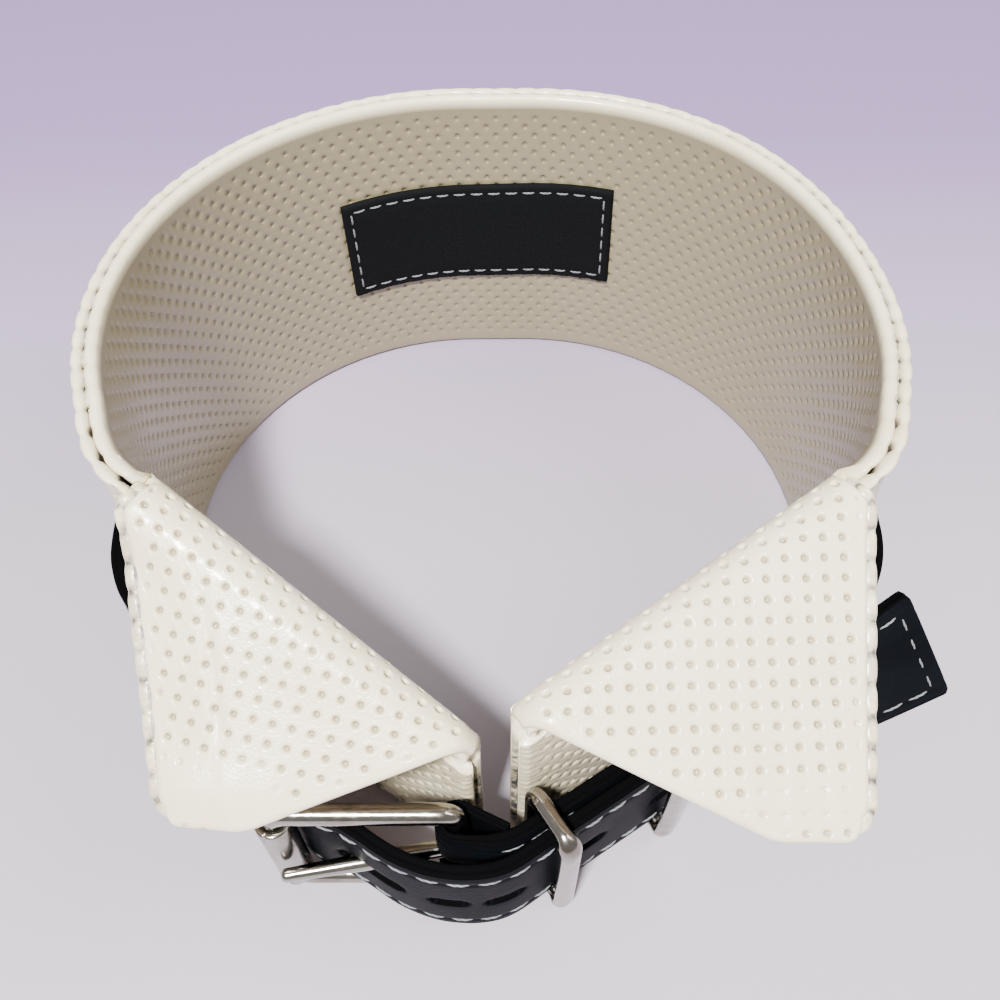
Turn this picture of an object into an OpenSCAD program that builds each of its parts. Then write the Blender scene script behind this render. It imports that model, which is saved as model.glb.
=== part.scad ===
// Turn-down collar with a buckled strap.
// A stiffened band stands round the neck; its two front top corners fold outward as pointed wings.
// A leather strap is sewn round the outside and closes in front with a roller buckle and two wire keepers.
// Millimetres, +Z up. The origin is on the neck axis, in the plane that the band stands on.

/* [Band] */
// Radius of the back of the neck opening
back_radius = 48.5; // [42:0.5:56]
// Distance of each back arc's centre from the middle plane
back_spread = 5; // [2:0.5:9]
// Distance of the back arcs' centres in front of the neck axis
back_shift = 3; // [0:0.5:6]
// Height of the band
band_height = 55.5; // [50:0.5:66]
// Thickness of the lining and of the outer panel
panel_ply = 1; // [0.8:0.1:1.3]
// Thickness of the stiffener between the panels
core_ply = 1.6; // [1.2:0.1:2.2]
// Depth of the turned-in edges that close the band over the stiffener
hem_depth = 4; // [2.5:0.5:6]
// Radius of the band's front corners
corner_radius = 14; // [10:0.5:18]
// Distance of the band's front point from the neck axis
front_reach = 59; // [57:0.5:61]
// Angle that each front runs back at, from square across
front_angle = 33; // [31:0.5:35]
// Radius of the band's front point
point_radius = 3; // [2:0.5:4]
// Gap between the two front ends
front_gap = 3; // [2:0.25:4]

/* [Wings] */
// How far the fold runs on past the straight of the band's front
fold_overrun = -1; // [-3:0.5:1]
// Height of the left fold where it reaches the front
left_fold_end = 32.5; // [32:0.5:38]
// Height of the right fold where it reaches the front
right_fold_end = 41; // [36:0.5:43]
// Angle that the left wing is turned down through
left_fold_angle = 119; // [112:0.5:120]
// Angle that the right wing is turned down through
right_fold_angle = 115; // [110:0.5:122]
// Distance of the left wing's outer point corner from its back corner, along the fold
left_tip_along = 27.5; // [25:0.5:30]
// Distance of the left wing's outer point corner from the fold
left_tip_out = 27; // [25:0.5:29]
// Distance of the right wing's outer point corner from its back corner, along the fold
right_tip_along = 25; // [23:0.5:28]
// Distance of the right wing's outer point corner from the fold
right_tip_out = 30.5; // [27:0.5:31]
// Distance along the fold between the two corners of a wing's blunt point
tip_width = 7; // [5:0.5:9]
// How much nearer to the fold the point's front corner is
tip_drop = 5; // [4:0.5:6]
// Radius of the two corners of a wing's point
tip_radius = 3; // [2:0.5:4]
// Radius of the wing's other two corners
wing_corner = 1.5; // [1:0.25:2]
// Inner radius of the leather where it folds over
fold_inside = 0.6; // [0.4:0.1:1]
// Clearance between the rolled fold and the band below it
fold_gap = 0.3; // [0.2:0.05:0.5]

/* [Label] */
// Length of the label patch
label_length = 50; // [40:1:60]
// Height of the label patch
label_height = 20.5; // [16:0.5:26]
// Thickness of the label patch
label_ply = 1.2; // [0.8:0.1:1.6]
// Sideways place of the label's middle
label_x = -3.5; // [-8:0.5:8]
// Height of the label's middle
label_z = 28.5; // [20:0.5:36]

/* [Strap] */
// Width of the strap
strap_width = 20; // [18:0.5:22]
// Thickness of the strap
strap_ply = 2.2; // [1.8:0.1:2.4]
// Clearance between the strap and what passes over it
strap_gap = 0.4; // [0.3:0.05:0.6]
// Clearance between the strap and the billet that lies on it
layer_gap = 0.3; // [0.2:0.05:0.4]
// Radius of the bend in front, where the strap turns towards the buckle
bend_radius = 9; // [7:0.5:12]
// Length of the adjusting holes
hole_length = 5; // [4:0.25:6]
// Height of the adjusting holes
hole_height = 2.6; // [2:0.1:3]
// Length of the hole that the prong is through
prong_hole_length = 10.5; // [10:0.25:11.5]
// Distance between adjusting holes
hole_pitch = 13; // [11:0.5:15]
// How far the billet bulges in front of the strap's bend
bulge_out = 3.75; // [3.5:0.05:4.2]
// Distance of the far keeper from the tail's first bend
keeper_to_tail = 6; // [5:0.5:8]
// Length of the tail past that bend
tail_length = 37; // [30:1:44]
// How far the tail's end rises
tail_rise = 7.5; // [4:0.5:9]
// How far the tail's upper edge leans towards the band, in degrees
tail_lean = 31; // [15:1:35]
// Angle between the tail and the middle plane's normal
tail_angle = 24; // [20:0.5:29]

/* [Stitching] */
// Thickness of the sewing thread
thread = 0.6; // [0.4:0.1:0.8]
// Distance of the strap's stitching from its edges
strap_stitch_inset = 2.2; // [1.6:0.1:3]
// Distance of the wings' stitching from their outer edges
wing_stitch_inset = 2; // [1.5:0.25:3]
// Height of the stitching along the band's lower edge
lower_stitch_height = 1.8; // [1:0.1:2.5]
// Distance of the label's stitching from its edges
label_stitch_inset = 2.5; // [1.5:0.25:3.5]

/* [Buckle] */
// Wire diameter of the buckle frame
frame_wire = 2.8; // [2.4:0.1:3.2]
// Distance between the anchor bar and the roller's bar
bar_span = 23.2; // [22:0.2:25]
// Sideways distance of the anchor bar from the middle plane
anchor_out = 5; // [4.5:0.25:6]
// Distance of the buckle's bars in front of the band's point
buckle_out = 5.8; // [5.4:0.1:6.4]
// Clearance between the strap's edges and the buckle's rails
rail_gap = 0.5; // [0.3:0.1:0.8]
// Outer diameter of the roller
roller_d = 4.8; // [4.4:0.1:5.2]
// Diameter of the prong
prong_d = 2.4; // [2:0.1:2.8]
// How far the prong's point reaches past the roller's bar
prong_past = 1.5; // [1:0.25:2]
// Running clearance of the roller and the prong on their bars
running_gap = 0.05; // [0.03:0.01:0.08]
// Thickness of the strap where it is folded round the anchor bar
fold_ply = 1.4; // [1.1:0.1:1.6]
// Clearance of the fold on the anchor bar
anchor_gap = 0.08; // [0.04:0.01:0.1]

/* [Keepers] */
// Wire diameter of the keepers
keeper_wire = 2.4; // [2:0.1:2.6]
// Place of the near keeper along the straight of the strap
near_keeper_at = 0.5; // [0:0.25:3]
// Distance between the two keepers
keeper_pitch = 18; // [16:0.5:20]

/* [Hidden] */
$fn = 96;

leather_black = [0.06, 0.065, 0.075];
leather_cream = [0.90, 0.88, 0.82];
nickel = [0.78, 0.76, 0.72];
thread_grey = [0.62, 0.63, 0.66];
board_grey = [0.45, 0.42, 0.38];

band_ply = 2 * panel_ply + core_ply;
roll_radius = band_ply + fold_inside;
cut_margin = 40;
clear = 0.05;

// Unit vector at an angle in the plan
function heading(angle) = [cos(angle), sin(angle)];
// Point in the plan with a height added
function lift(point, z) = [point[0], point[1], z];
// Mirror image of a plan point across the middle plane
function flip(point) = [-point[0], point[1]];
// Angle of the outward normal of the common tangent of two circles [centre, radius], going anticlockwise
function tangent_normal(a, b) =
    let (step = b[0] - a[0], ratio = (a[1] - b[1]) / norm(step))
    atan2(step[1], step[0]) - acos(min(1, max(-1, ratio)));
// Point on a circle [centre, radius] in a direction
function rim(circle_at, angle) = circle_at[0] + circle_at[1] * heading(angle);

// Points along a circle [centre, radius] over a turn from a direction
arc_step = 3;
function arc(round, from, turn) =
    let (steps = max(1, ceil(turn / arc_step)))
    [for (k = [0 : steps]) rim(round, from + turn * k / steps)];
// Anticlockwise turn from one direction to another
function turn_between(from, to) = (to - from + 720) % 360;

// Plan shape of a belt stretched round a list of circles [centre, radius], taken anticlockwise
module belt(circles) {
    count = len(circles);
    normals = [for (i = [0 : count - 1]) tangent_normal(circles[i], circles[(i + 1) % count])];
    polygon([
        for (i = [0 : count - 1])
            let (from = normals[(i + count - 1) % count])
            each arc(circles[i], from, turn_between(from, normals[i]))
    ]);
}

// Plan shape of a belt round two circles [centre, radius], with their true round ends
module sleeve(a, b) {
    there = tangent_normal(a, b);
    back = tangent_normal(b, a);
    for (item = [a, b]) translate(item[0]) circle(r = item[1]);
    polygon([rim(a, there), rim(b, there), rim(b, back), rim(a, back)]);
}

// The straight of the right front: its direction and its outward normal
front_dir = heading(front_angle);
front_normal = heading(front_angle - 90);

// Centres of the circles round which the band is stretched; each front corner rounds off the back's arc
back_centre = [back_spread, -back_shift];
point_centre = [0, point_radius / cos(front_angle) - front_reach];
back_depth = ([0, -front_reach] - back_centre) * front_normal;
corner_ease = 0.5;
corner_along = corner_ease
    + sqrt(max(0, pow(back_radius - corner_radius, 2) - pow(back_depth - corner_radius, 2)));
corner_centre = back_centre + (back_depth - corner_radius) * front_normal + corner_along * front_dir;

// The same circles, each grown by a distance
function band_circles(grow) = [
    [point_centre, point_radius + grow],
    [corner_centre, corner_radius + grow],
    [back_centre, back_radius + grow],
    [flip(back_centre), back_radius + grow],
    [flip(corner_centre), corner_radius + grow]
];

// Upright wall between two distances from the neck side
module wall(inner, outer, bottom, top) {
    translate([0, 0, bottom]) linear_extrude(top - bottom) difference() {
        belt(band_circles(outer));
        belt(band_circles(inner));
    }
}

// Ends of the right front's straight on the neck side
front_start = point_centre + point_radius * front_normal;
front_end = corner_centre + corner_radius * front_normal;
// Point in the plan at a distance along the right front's straight and a distance out from its neck side
function front_at(along, out) = front_start + along * front_dir + out * front_normal;

// Fold line of each wing: from its back corner, high up, down to the front end
fold_run = norm(front_end - front_start) + fold_overrun;
fold_start_z = band_height - roll_radius;
function fold_pitch(end_z) = atan2(fold_start_z - end_z, fold_run);
function fold_length(end_z) = norm([fold_run, fold_start_z - end_z]);

// Frame of a fold on the right side: x runs down the fold, y points out of the band, z up the wall
module fold_frame(end_z) {
    translate(lift(front_at(fold_run, roll_radius), fold_start_z))
        rotate([0, 0, 180 + front_angle]) rotate([0, fold_pitch(end_z), 0]) children();
}

// Everything above a fold on the right side, with room for the rolled leather
module above_fold(end_z) {
    reach = fold_length(end_z) + front_gap;
    intersection() {
        fold_frame(end_z) {
            translate([-fold_gap, -cut_margin, 0]) cube([reach, 2 * cut_margin, cut_margin]);
            translate([-fold_gap, 0, 0]) rotate([0, 90, 0]) cylinder(r = roll_radius + fold_gap, h = reach);
        }
        translate([0, -2 * front_reach, -cut_margin]) cube(4 * front_reach);
    }
}

// Takes away what the front gap and the two folds remove from the band
module open_front() {
    difference() {
        children();
        translate([-front_gap / 2, -2 * front_reach, -cut_margin])
            cube([front_gap, 2 * front_reach, band_height + 2 * cut_margin]);
        above_fold(right_fold_end);
        mirror([1, 0, 0]) above_fold(left_fold_end);
    }
}

module lining_panel() {
    color(leather_cream) open_front() wall(0, panel_ply, 0, band_height);
}

module stiffener_core() {
    color(board_grey) open_front()
        wall(panel_ply, panel_ply + core_ply, hem_depth, band_height - hem_depth);
}

module outer_panel() {
    color(leather_cream) open_front() {
        wall(panel_ply + core_ply, band_ply, 0, band_height);
        wall(panel_ply, panel_ply + core_ply, 0, hem_depth);
        wall(panel_ply, panel_ply + core_ply, band_height - hem_depth, band_height);
    }
}

// Seam thread between the two turned edges along the band's top
module top_edge_thread() {
    color(thread_grey) open_front()
        wall((band_ply - thread) / 2, (band_ply + thread) / 2, band_height, band_height + thread / 2);
}
// Seam thread on the outer panel along the band's lower edge
module bottom_edge_thread() {
    low = lower_stitch_height - thread / 2;
    color(thread_grey) open_front() wall(band_ply, band_ply + thread / 2, low, low + thread);
}

// Each wing's shape: [height of its fold's front end, its outer point corner along and out from the fold]
left_shape = [left_fold_end, left_tip_along, left_tip_out];
right_shape = [right_fold_end, right_tip_along, right_tip_out];

// Wing outline in the fold's frame, x along the fold and y out from it, drawn in by a distance
least_radius = 0.3;
function wing_circles(shape, inset) =
    let (
        corner = max(least_radius, wing_corner - inset),
        tip = max(least_radius, tip_radius - inset),
        tip_at = [shape[1], shape[2] - tip_radius]
    )
    [
        [[wing_corner, 0], corner],
        [[fold_length(shape[0]) - wing_corner, 0], corner],
        [tip_at + [tip_width, -tip_drop], tip],
        [tip_at, tip]
    ];

// Flat of a wing beyond its fold, between two depths from the fold's axis
module wing_plate(shape, near, far, inset) {
    translate([0, -near, 0]) rotate([90, 0, 0]) linear_extrude(far - near) intersection() {
        belt(wing_circles(shape, inset));
        translate([-cut_margin, 0]) square([fold_length(shape[0]) + 2 * cut_margin, 2 * cut_margin]);
    }
}

// Half round of leather rolled over the fold, drawn in from both ends by an inset
module wing_roll(shape, radius, inset) {
    translate([inset, 0, 0]) rotate([90, 0, 90]) linear_extrude(fold_length(shape[0]) - 2 * inset)
        intersection() {
            circle(r = radius);
            translate([-2 * radius, -2 * radius]) square([4 * radius, 2 * radius]);
        }
}

// A wing's place when it is turned down; left is the mirror image of right
module wing_frame(end_z, angle, mirrored) {
    mirror([mirrored ? 1 : 0, 0, 0]) fold_frame(end_z) rotate([-angle, 0, 0]) children();
}

// Visible face of a wing with the rolled skin that it hangs from
module wing_facing(shape) {
    color(leather_cream) {
        wing_plate(shape, roll_radius - panel_ply, roll_radius, 0);
        difference() {
            wing_roll(shape, roll_radius, 0);
            wing_roll(shape, roll_radius - panel_ply, hem_depth / 2);
        }
    }
}

// Stiffener inside a wing and its rolled fold
module wing_core(shape) {
    color(board_grey) {
        wing_plate(shape, fold_inside + panel_ply, roll_radius - panel_ply, hem_depth / 2);
        wing_roll(shape, roll_radius - panel_ply, hem_depth / 2);
    }
}

// Under face of a wing with the turned-in edges round its stiffener
module wing_underside(shape) {
    color(leather_cream) difference() {
        wing_plate(shape, fold_inside, roll_radius - panel_ply, 0);
        wing_plate(shape, fold_inside + panel_ply, roll_radius, hem_depth / 2);
    }
}

// Seam thread lying on a wing's face along its outer edge
module wing_thread(shape) {
    circles = wing_circles(shape, 0);
    edge = tangent_normal(circles[3], circles[0]);
    point = circles[3][0] + (circles[3][1] - wing_stitch_inset) * heading(edge);
    heel = circles[0][0] + (circles[0][1] - wing_stitch_inset) * heading(edge);
    along = heel - point;
    color(thread_grey) translate([point[0], -roll_radius, point[1]])
        rotate([0, atan2(along[0], along[1]), 0]) intersection() {
            cylinder(d = thread, h = norm(along) - wing_stitch_inset);
            translate([-thread, -thread, 0]) cube([2 * thread, thread, norm(along)]);
        }
}

module left_wing() { wing_frame(left_fold_end, left_fold_angle, true) children(); }
module right_wing() { wing_frame(right_fold_end, right_fold_angle, false) children(); }
module left_wing_facing() { left_wing() wing_facing(left_shape); }
module left_wing_core() { left_wing() wing_core(left_shape); }
module left_wing_underside() { left_wing() wing_underside(left_shape); }
module left_wing_thread() { left_wing() wing_thread(left_shape); }
module right_wing_facing() { right_wing() wing_facing(right_shape); }
module right_wing_core() { right_wing() wing_core(right_shape); }
module right_wing_underside() { right_wing() wing_underside(right_shape); }
module right_wing_thread() { right_wing() wing_thread(right_shape); }

// Upright block of the lining's back that a patch of the label's size covers, drawn in by an inset
module label_block(inset) {
    translate([label_x - label_length / 2 + inset, 0, label_z - label_height / 2 + inset])
        cube([label_length - 2 * inset, 2 * back_radius, label_height - 2 * inset]);
}
module label_patch() {
    color(leather_black) intersection() {
        wall(-label_ply, 0, 0, band_height);
        label_block(0);
    }
}
module label_thread() {
    color(thread_grey) intersection() {
        wall(-label_ply - thread / 2, -label_ply, 0, band_height);
        difference() {
            label_block(label_stitch_inset);
            label_block(label_stitch_inset + thread);
        }
    }
}

// Heights of the strap: the buckle's lower rail stands just clear of the surface under the band
rail_lift = 0.4;
strap_bottom = rail_lift + frame_wire + rail_gap;
strap_top = strap_bottom + strap_width;
strap_mid = strap_bottom + strap_width / 2;

// Distances out from the neck side in front: keeper's back bar, strap, billet, keeper's front bar
strap_near = band_ply + 2 * strap_gap + keeper_wire;
strap_far = strap_near + strap_ply;
billet_near = strap_far + layer_gap;
billet_far = billet_near + strap_ply;

// Circles that the strap lies on: close to the band behind, clear of it at the front corners
function strap_back(out) = [back_centre, back_radius + band_ply + clear + out];
function strap_corner(out) = [corner_centre, corner_radius + strap_near + out];
corner_normal = tangent_normal(strap_corner(0), strap_back(0));

// Buckle places in the plan: the strap passes outside the anchor bar and turns into its line
anchor_reach = frame_wire / 2 + anchor_gap;
bend_tangent = bend_radius * tan(front_angle / 2);
strap_line = front_at(0, strap_near + strap_ply / 2);
anchor_y = -front_reach - buckle_out;
anchor_at = [-anchor_out, anchor_y];
roller_at = anchor_at - [bar_span, 0];
bend_meet_y = anchor_y - anchor_reach - strap_ply / 2;
bend_meet_along = (bend_meet_y - strap_line[1]) / front_dir[1];
bend_meet = strap_line + bend_meet_along * front_dir;
bend_start = bend_meet + bend_tangent * front_dir;
bend_centre = bend_start - bend_radius * front_normal;

// Where the strap leaves the band's left side and becomes the billet
left_back = [flip(back_centre), strap_back(strap_ply / 2)[1]];
left_corner = [flip(corner_centre), strap_corner(strap_ply / 2)[1]];
billet_start_angle = 180 - corner_normal;
billet_start = rim(left_back, billet_start_angle);

// Line along the strap at a distance out from its inner face: round the band's back only
function strap_back_line(out) = concat(
    arc(strap_back(out), corner_normal, 90 - corner_normal),
    arc([left_back[0], left_back[1] + out - strap_ply / 2], 90, billet_start_angle - 90)
);
// The same line from the anchor bar on, through the bend in front and round the right corner
function strap_line_at(out) =
    let (bend = [bend_centre, bend_radius + out - strap_ply / 2])
    concat(
        [[anchor_at[0], bend_centre[1] - bend[1]]],
        arc(bend, -90, front_angle),
        arc(strap_corner(out), front_angle - 90, corner_normal + 90 - front_angle),
        strap_back_line(out)
    );
function reversed(list) = [for (i = [len(list) - 1 : -1 : 0]) list[i]];

// Slot through the strap's fold for the prong's eye
prong_slot = prong_d + 2 * strap_gap;
prong_eye = frame_wire + 2 * running_gap;
prong_eye_outer = prong_eye + fold_ply;
module prong_slot_block() {
    translate([anchor_at[0] - cut_margin, anchor_y - cut_margin, strap_mid - prong_slot / 2])
        cube([cut_margin + prong_eye_outer / 2 + strap_gap, 2 * cut_margin, prong_slot]);
}

module strap_body() {
    color(leather_black) difference() {
        translate([0, 0, strap_bottom]) linear_extrude(strap_width)
            polygon(concat(strap_line_at(strap_ply), reversed(strap_line_at(0))));
        intersection() {
            prong_slot_block();
            translate([anchor_at[0] - strap_ply, anchor_y - cut_margin, 0])
                cube([cut_margin, cut_margin, strap_top]);
        }
    }
}

// Row of stitching on the strap where the billet doesn't cover it: round the right corner and the back
function strap_seam_line(out) = concat(
    arc(strap_corner(out), front_angle - 90, corner_normal + 90 - front_angle),
    strap_back_line(out)
);
module strap_thread(height) {
    color(thread_grey) translate([0, 0, height - thread / 2]) linear_extrude(thread)
        polygon(concat(strap_seam_line(strap_ply + thread / 2), reversed(strap_seam_line(strap_ply))));
}
module strap_upper_thread() { strap_thread(strap_top - strap_stitch_inset); }
module strap_lower_thread() { strap_thread(strap_bottom + strap_stitch_inset); }

// The strap's skived end, turned round the anchor bar and sewn back against the strap
fold_tail = [bend_meet[0], bend_meet_y + strap_ply / 2];
fold_loop = [anchor_at, anchor_reach + fold_ply];
fold_end = [fold_tail + [0, fold_ply / 2], fold_ply / 2];
module fold_plan() {
    difference() {
        sleeve(fold_loop, fold_end);
        sleeve([anchor_at, anchor_reach], [fold_tail - [anchor_reach, 0], clear]);
        translate([anchor_at[0], anchor_y - anchor_reach - cut_margin])
            square([2 * cut_margin, cut_margin]);
        polygon(concat(
            [[anchor_at[0], bend_centre[1] - bend_radius - cut_margin]],
            [[anchor_at[0], bend_centre[1] - bend_radius + strap_ply / 2]],
            arc([bend_centre, bend_radius - strap_ply / 2], -90, front_angle),
            [bend_centre + (bend_radius + cut_margin) * front_normal]
        ));
    }
}
fold_trim = 0.5;
module buckle_fold() {
    color(leather_black) difference() {
        translate([0, 0, strap_bottom + fold_trim]) linear_extrude(strap_width - 2 * fold_trim) fold_plan();
        prong_slot_block();
    }
}
// Two rows of stitching that close the fold, standing on its inner face
module buckle_fold_thread() {
    face = tangent_normal(fold_end, fold_loop);
    at = rim(fold_end, face) + fold_ply * heading(face + 90) + clear * heading(face);
    color(thread_grey) for (z = [strap_bottom + strap_stitch_inset, strap_top - strap_stitch_inset])
        translate(lift(at, z)) rotate([0, 0, face]) rotate([0, 90, 0]) cylinder(d = thread, h = thread / 2);
}

// Middle line of the billet: [x, y, height of the middle, lean of the upper edge]
pass_angle = 53;
under_roller = roller_at + (roller_d / 2 + strap_gap + strap_ply / 2) * heading(pass_angle);
billet_mid = (billet_near + billet_far) / 2;
far_keeper_at = near_keeper_at + keeper_pitch;
straight_end = far_keeper_at + keeper_to_tail;
tail_from = front_at(straight_end, billet_mid);
bulge_y = bend_meet_y - bulge_out;
bulge_side = 1;
bulge_at = [anchor_at[0] - bulge_side, bulge_y];
rejoin_at = [bend_meet[0] - 0.8, bulge_y + 0.5];
function level(point) = [point[0], point[1], strap_mid, 0];
function tail_point(share) = let (at = tail_from + share * tail_length * heading(tail_angle))
    [at[0], at[1], strap_mid + tail_rise * share * share, tail_lean * share];
function mix(a, b, share) = a + share * (b - a);
leave_angle = billet_start_angle
    + turn_between(billet_start_angle, tangent_normal(left_corner, [under_roller, clear]));
// Shares of the way through the buckle's window, across it and out of it, at two places
window_first = [0.35, 0.38];
window_second = [0.68, 0.8];
function window_pass(share) = level([
    mix(under_roller[0], bulge_at[0], share[0]), mix(under_roller[1], bulge_at[1], share[1])
]);
billet_guides = concat(
    [level(billet_start)],
    [for (share = [0 : 0.5 : 1]) level(rim(left_corner, mix(billet_start_angle, leave_angle, share)))],
    [level(mix(rim(left_corner, leave_angle), under_roller, 0.5)), level(under_roller)],
    [window_pass(window_first), window_pass(window_second)],
    [level(bulge_at), level(rejoin_at)],
    [for (along = [0 : straight_end / 3 : straight_end]) level(front_at(along, billet_mid))],
    [for (share = [0.25 : 0.25 : 1]) tail_point(share)]
);

// Smooth curve through the guide points
function guide(list, i) = list[max(0, min(len(list) - 1, i))];
function smooth(a, b, c, d, t) = 0.5 * (2 * b + (c - a) * t
    + (2 * a - 5 * b + 4 * c - d) * t * t + (3 * b - a - 3 * c + d) * t * t * t);
steps_per_guide = 4;
billet_path = [
    for (i = [0 : len(billet_guides) - 2], step = [0 : steps_per_guide - 1])
        smooth(guide(billet_guides, i - 1), billet_guides[i], billet_guides[i + 1],
            guide(billet_guides, i + 2), step / steps_per_guide),
    billet_guides[len(billet_guides) - 1]
];

// Corner of a strip at a station of the path: out across its face, up across its width
function strip_corner(path, i, out, up) =
    let (
        here = path[i],
        step = guide(path, i + 1) - guide(path, i - 1),
        run = atan2(step[1], step[0]),
        climb = atan2(step[2], norm([step[0], step[1]])),
        side = [sin(run), -cos(run), 0],
        rise = [-cos(run) * sin(climb), -sin(run) * sin(climb), cos(climb)],
        tip = here[3],
        across = out * cos(tip) - up * sin(tip),
        along = up * cos(tip) + out * sin(tip)
    )
    [here[0], here[1], here[2]] + across * side + along * rise;

// Flat strip swept along a path between two distances out and two distances up
module strip(path, near, far, low, high) {
    count = len(path);
    polyhedron(
        points = [for (i = [0 : count - 1]) each [
            strip_corner(path, i, near, low), strip_corner(path, i, far, low),
            strip_corner(path, i, far, high), strip_corner(path, i, near, high)
        ]],
        faces = concat(
            [[3, 2, 1], [3, 1, 0]],
            [for (i = [0 : count - 2], k = [0 : 3])
                let (a = 4 * i + k, b = 4 * i + (k + 1) % 4) each [[a, b, b + 4], [a, b + 4, a + 4]]],
            [let (e = 4 * (count - 1)) each [[e, e + 1, e + 2], [e, e + 2, e + 3]]]
        )
    );
}

// Oval through the billet at a plan point, its long way along a heading
module oval_hole(at, run, length, height) {
    translate(lift(at, strap_mid)) rotate([0, 0, run]) rotate([90, 0, 0])
        translate([0, 0, -2 * strap_ply]) linear_extrude(4 * strap_ply)
            sleeve([[(height - length) / 2, 0], height / 2], [[(length - height) / 2, 0], height / 2]);
}
prong_rest = (roller_d + prong_d) / 2 + fold_gap;
prong_angle = asin(prong_rest / bar_span);
prong_cross_share = 0.475;
prong_cross = anchor_at - bar_span * prong_cross_share * heading(prong_angle);
prong_hole_turn = -35;
first_hole_share = 0.62;
first_hole_at = near_keeper_at - hole_pitch * first_hole_share;
straight_holes = 3;

module billet() {
    color(leather_black) difference() {
        strip(billet_path, -strap_ply / 2, strap_ply / 2, -strap_width / 2, strap_width / 2);
        oval_hole(prong_cross, prong_hole_turn, prong_hole_length, prong_slot);
        oval_hole(bulge_at, 0, hole_length, hole_height);
        for (i = [0 : straight_holes - 1]) {
            at = front_at(first_hole_at + i * hole_pitch, billet_mid);
            oval_hole(at, front_angle, hole_length, hole_height);
        }
    }
}

// Row of stitching on the billet's face, from the bulge to the tail's end
sewn_guides = 10;
module billet_thread(up) {
    first = len(billet_path) - steps_per_guide * sewn_guides;
    face = [for (i = [first : len(billet_path) - 2]) billet_path[i]];
    seat = strap_ply / 2 + clear;
    color(thread_grey) strip(face, seat, seat + thread_rise, up - thread / 2, up + thread / 2);
}
module billet_upper_thread() { billet_thread(strap_width / 2 - strap_stitch_inset); }
module billet_lower_thread() { billet_thread(strap_stitch_inset - strap_width / 2); }

// Rounded rectangular loop of round wire in the xz plane, centred on the wire's middle line
module wire_loop(length, height, bend, wire) {
    for (s = [-1, 1]) {
        translate([bend - length / 2, 0, s * height / 2]) rotate([0, 90, 0])
            cylinder(d = wire, h = length - 2 * bend);
        translate([s * length / 2, 0, bend - height / 2]) cylinder(d = wire, h = height - 2 * bend);
    }
    for (sx = [0, 1], sz = [0, 1]) mirror([sx, 0, 0]) mirror([0, 0, sz])
        translate([length / 2 - bend, 0, height / 2 - bend]) rotate([90, 0, 0])
            rotate_extrude(angle = 90) translate([bend, 0]) circle(d = wire);
}

frame_height = strap_width + 2 * rail_gap + frame_wire;
bend_share = 0.75;
frame_bend = frame_wire * bend_share;
module buckle_frame() {
    color(nickel) translate(lift((anchor_at + roller_at) / 2, strap_mid))
        wire_loop(bar_span, frame_height, frame_bend, frame_wire);
}

// Sheet tube that turns on the frame's outer bar
roller_length = frame_height - 2 * frame_bend - 2 * running_gap;
module buckle_roller() {
    color(nickel) translate(lift(roller_at, strap_mid - roller_length / 2)) difference() {
        cylinder(d = roller_d, h = roller_length);
        translate([0, 0, -clear]) cylinder(d = frame_wire + 2 * running_gap, h = roller_length + 2 * clear);
    }
}

// Round prong with an eye on the anchor bar; its point rests on the roller
prong_reach = bar_span + prong_past;
module buckle_prong() {
    color(nickel) translate(lift(anchor_at, strap_mid)) difference() {
        union() {
            translate([0, 0, -prong_d / 2]) cylinder(d = prong_eye_outer, h = prong_d);
            rotate([0, 0, 180 + prong_angle]) rotate([0, 90, 0]) cylinder(d = prong_d, h = prong_reach);
        }
        translate([0, 0, -prong_d]) cylinder(d = prong_eye, h = 2 * prong_d);
    }
}

// Keeper round both strap layers at a place along the straight
thread_rise = thread / 3;
keeper_inner = strap_near - strap_gap;
keeper_outer = billet_far + clear + thread_rise + strap_gap;
keeper_depth = keeper_outer - keeper_inner + keeper_wire;
keeper_height = strap_width + 2 * rail_gap + keeper_wire;
keeper_bend = keeper_wire * bend_share;
module keeper(along) {
    color(nickel) translate(lift(front_at(along, (keeper_inner + keeper_outer) / 2), strap_mid))
        rotate([0, 0, front_angle - 90]) wire_loop(keeper_depth, keeper_height, keeper_bend, keeper_wire);
}
module near_keeper() { keeper(near_keeper_at); }
module far_keeper() { keeper(far_keeper_at); }

lining_panel();
stiffener_core();
outer_panel();
top_edge_thread();
bottom_edge_thread();
left_wing_facing();
left_wing_core();
left_wing_underside();
left_wing_thread();
right_wing_facing();
right_wing_core();
right_wing_underside();
right_wing_thread();
label_patch();
label_thread();
strap_body();
strap_upper_thread();
strap_lower_thread();
billet();
billet_upper_thread();
billet_lower_thread();
buckle_fold();
buckle_fold_thread();
buckle_frame();
buckle_roller();
buckle_prong();
near_keeper();
far_keeper();
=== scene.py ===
import math

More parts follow.
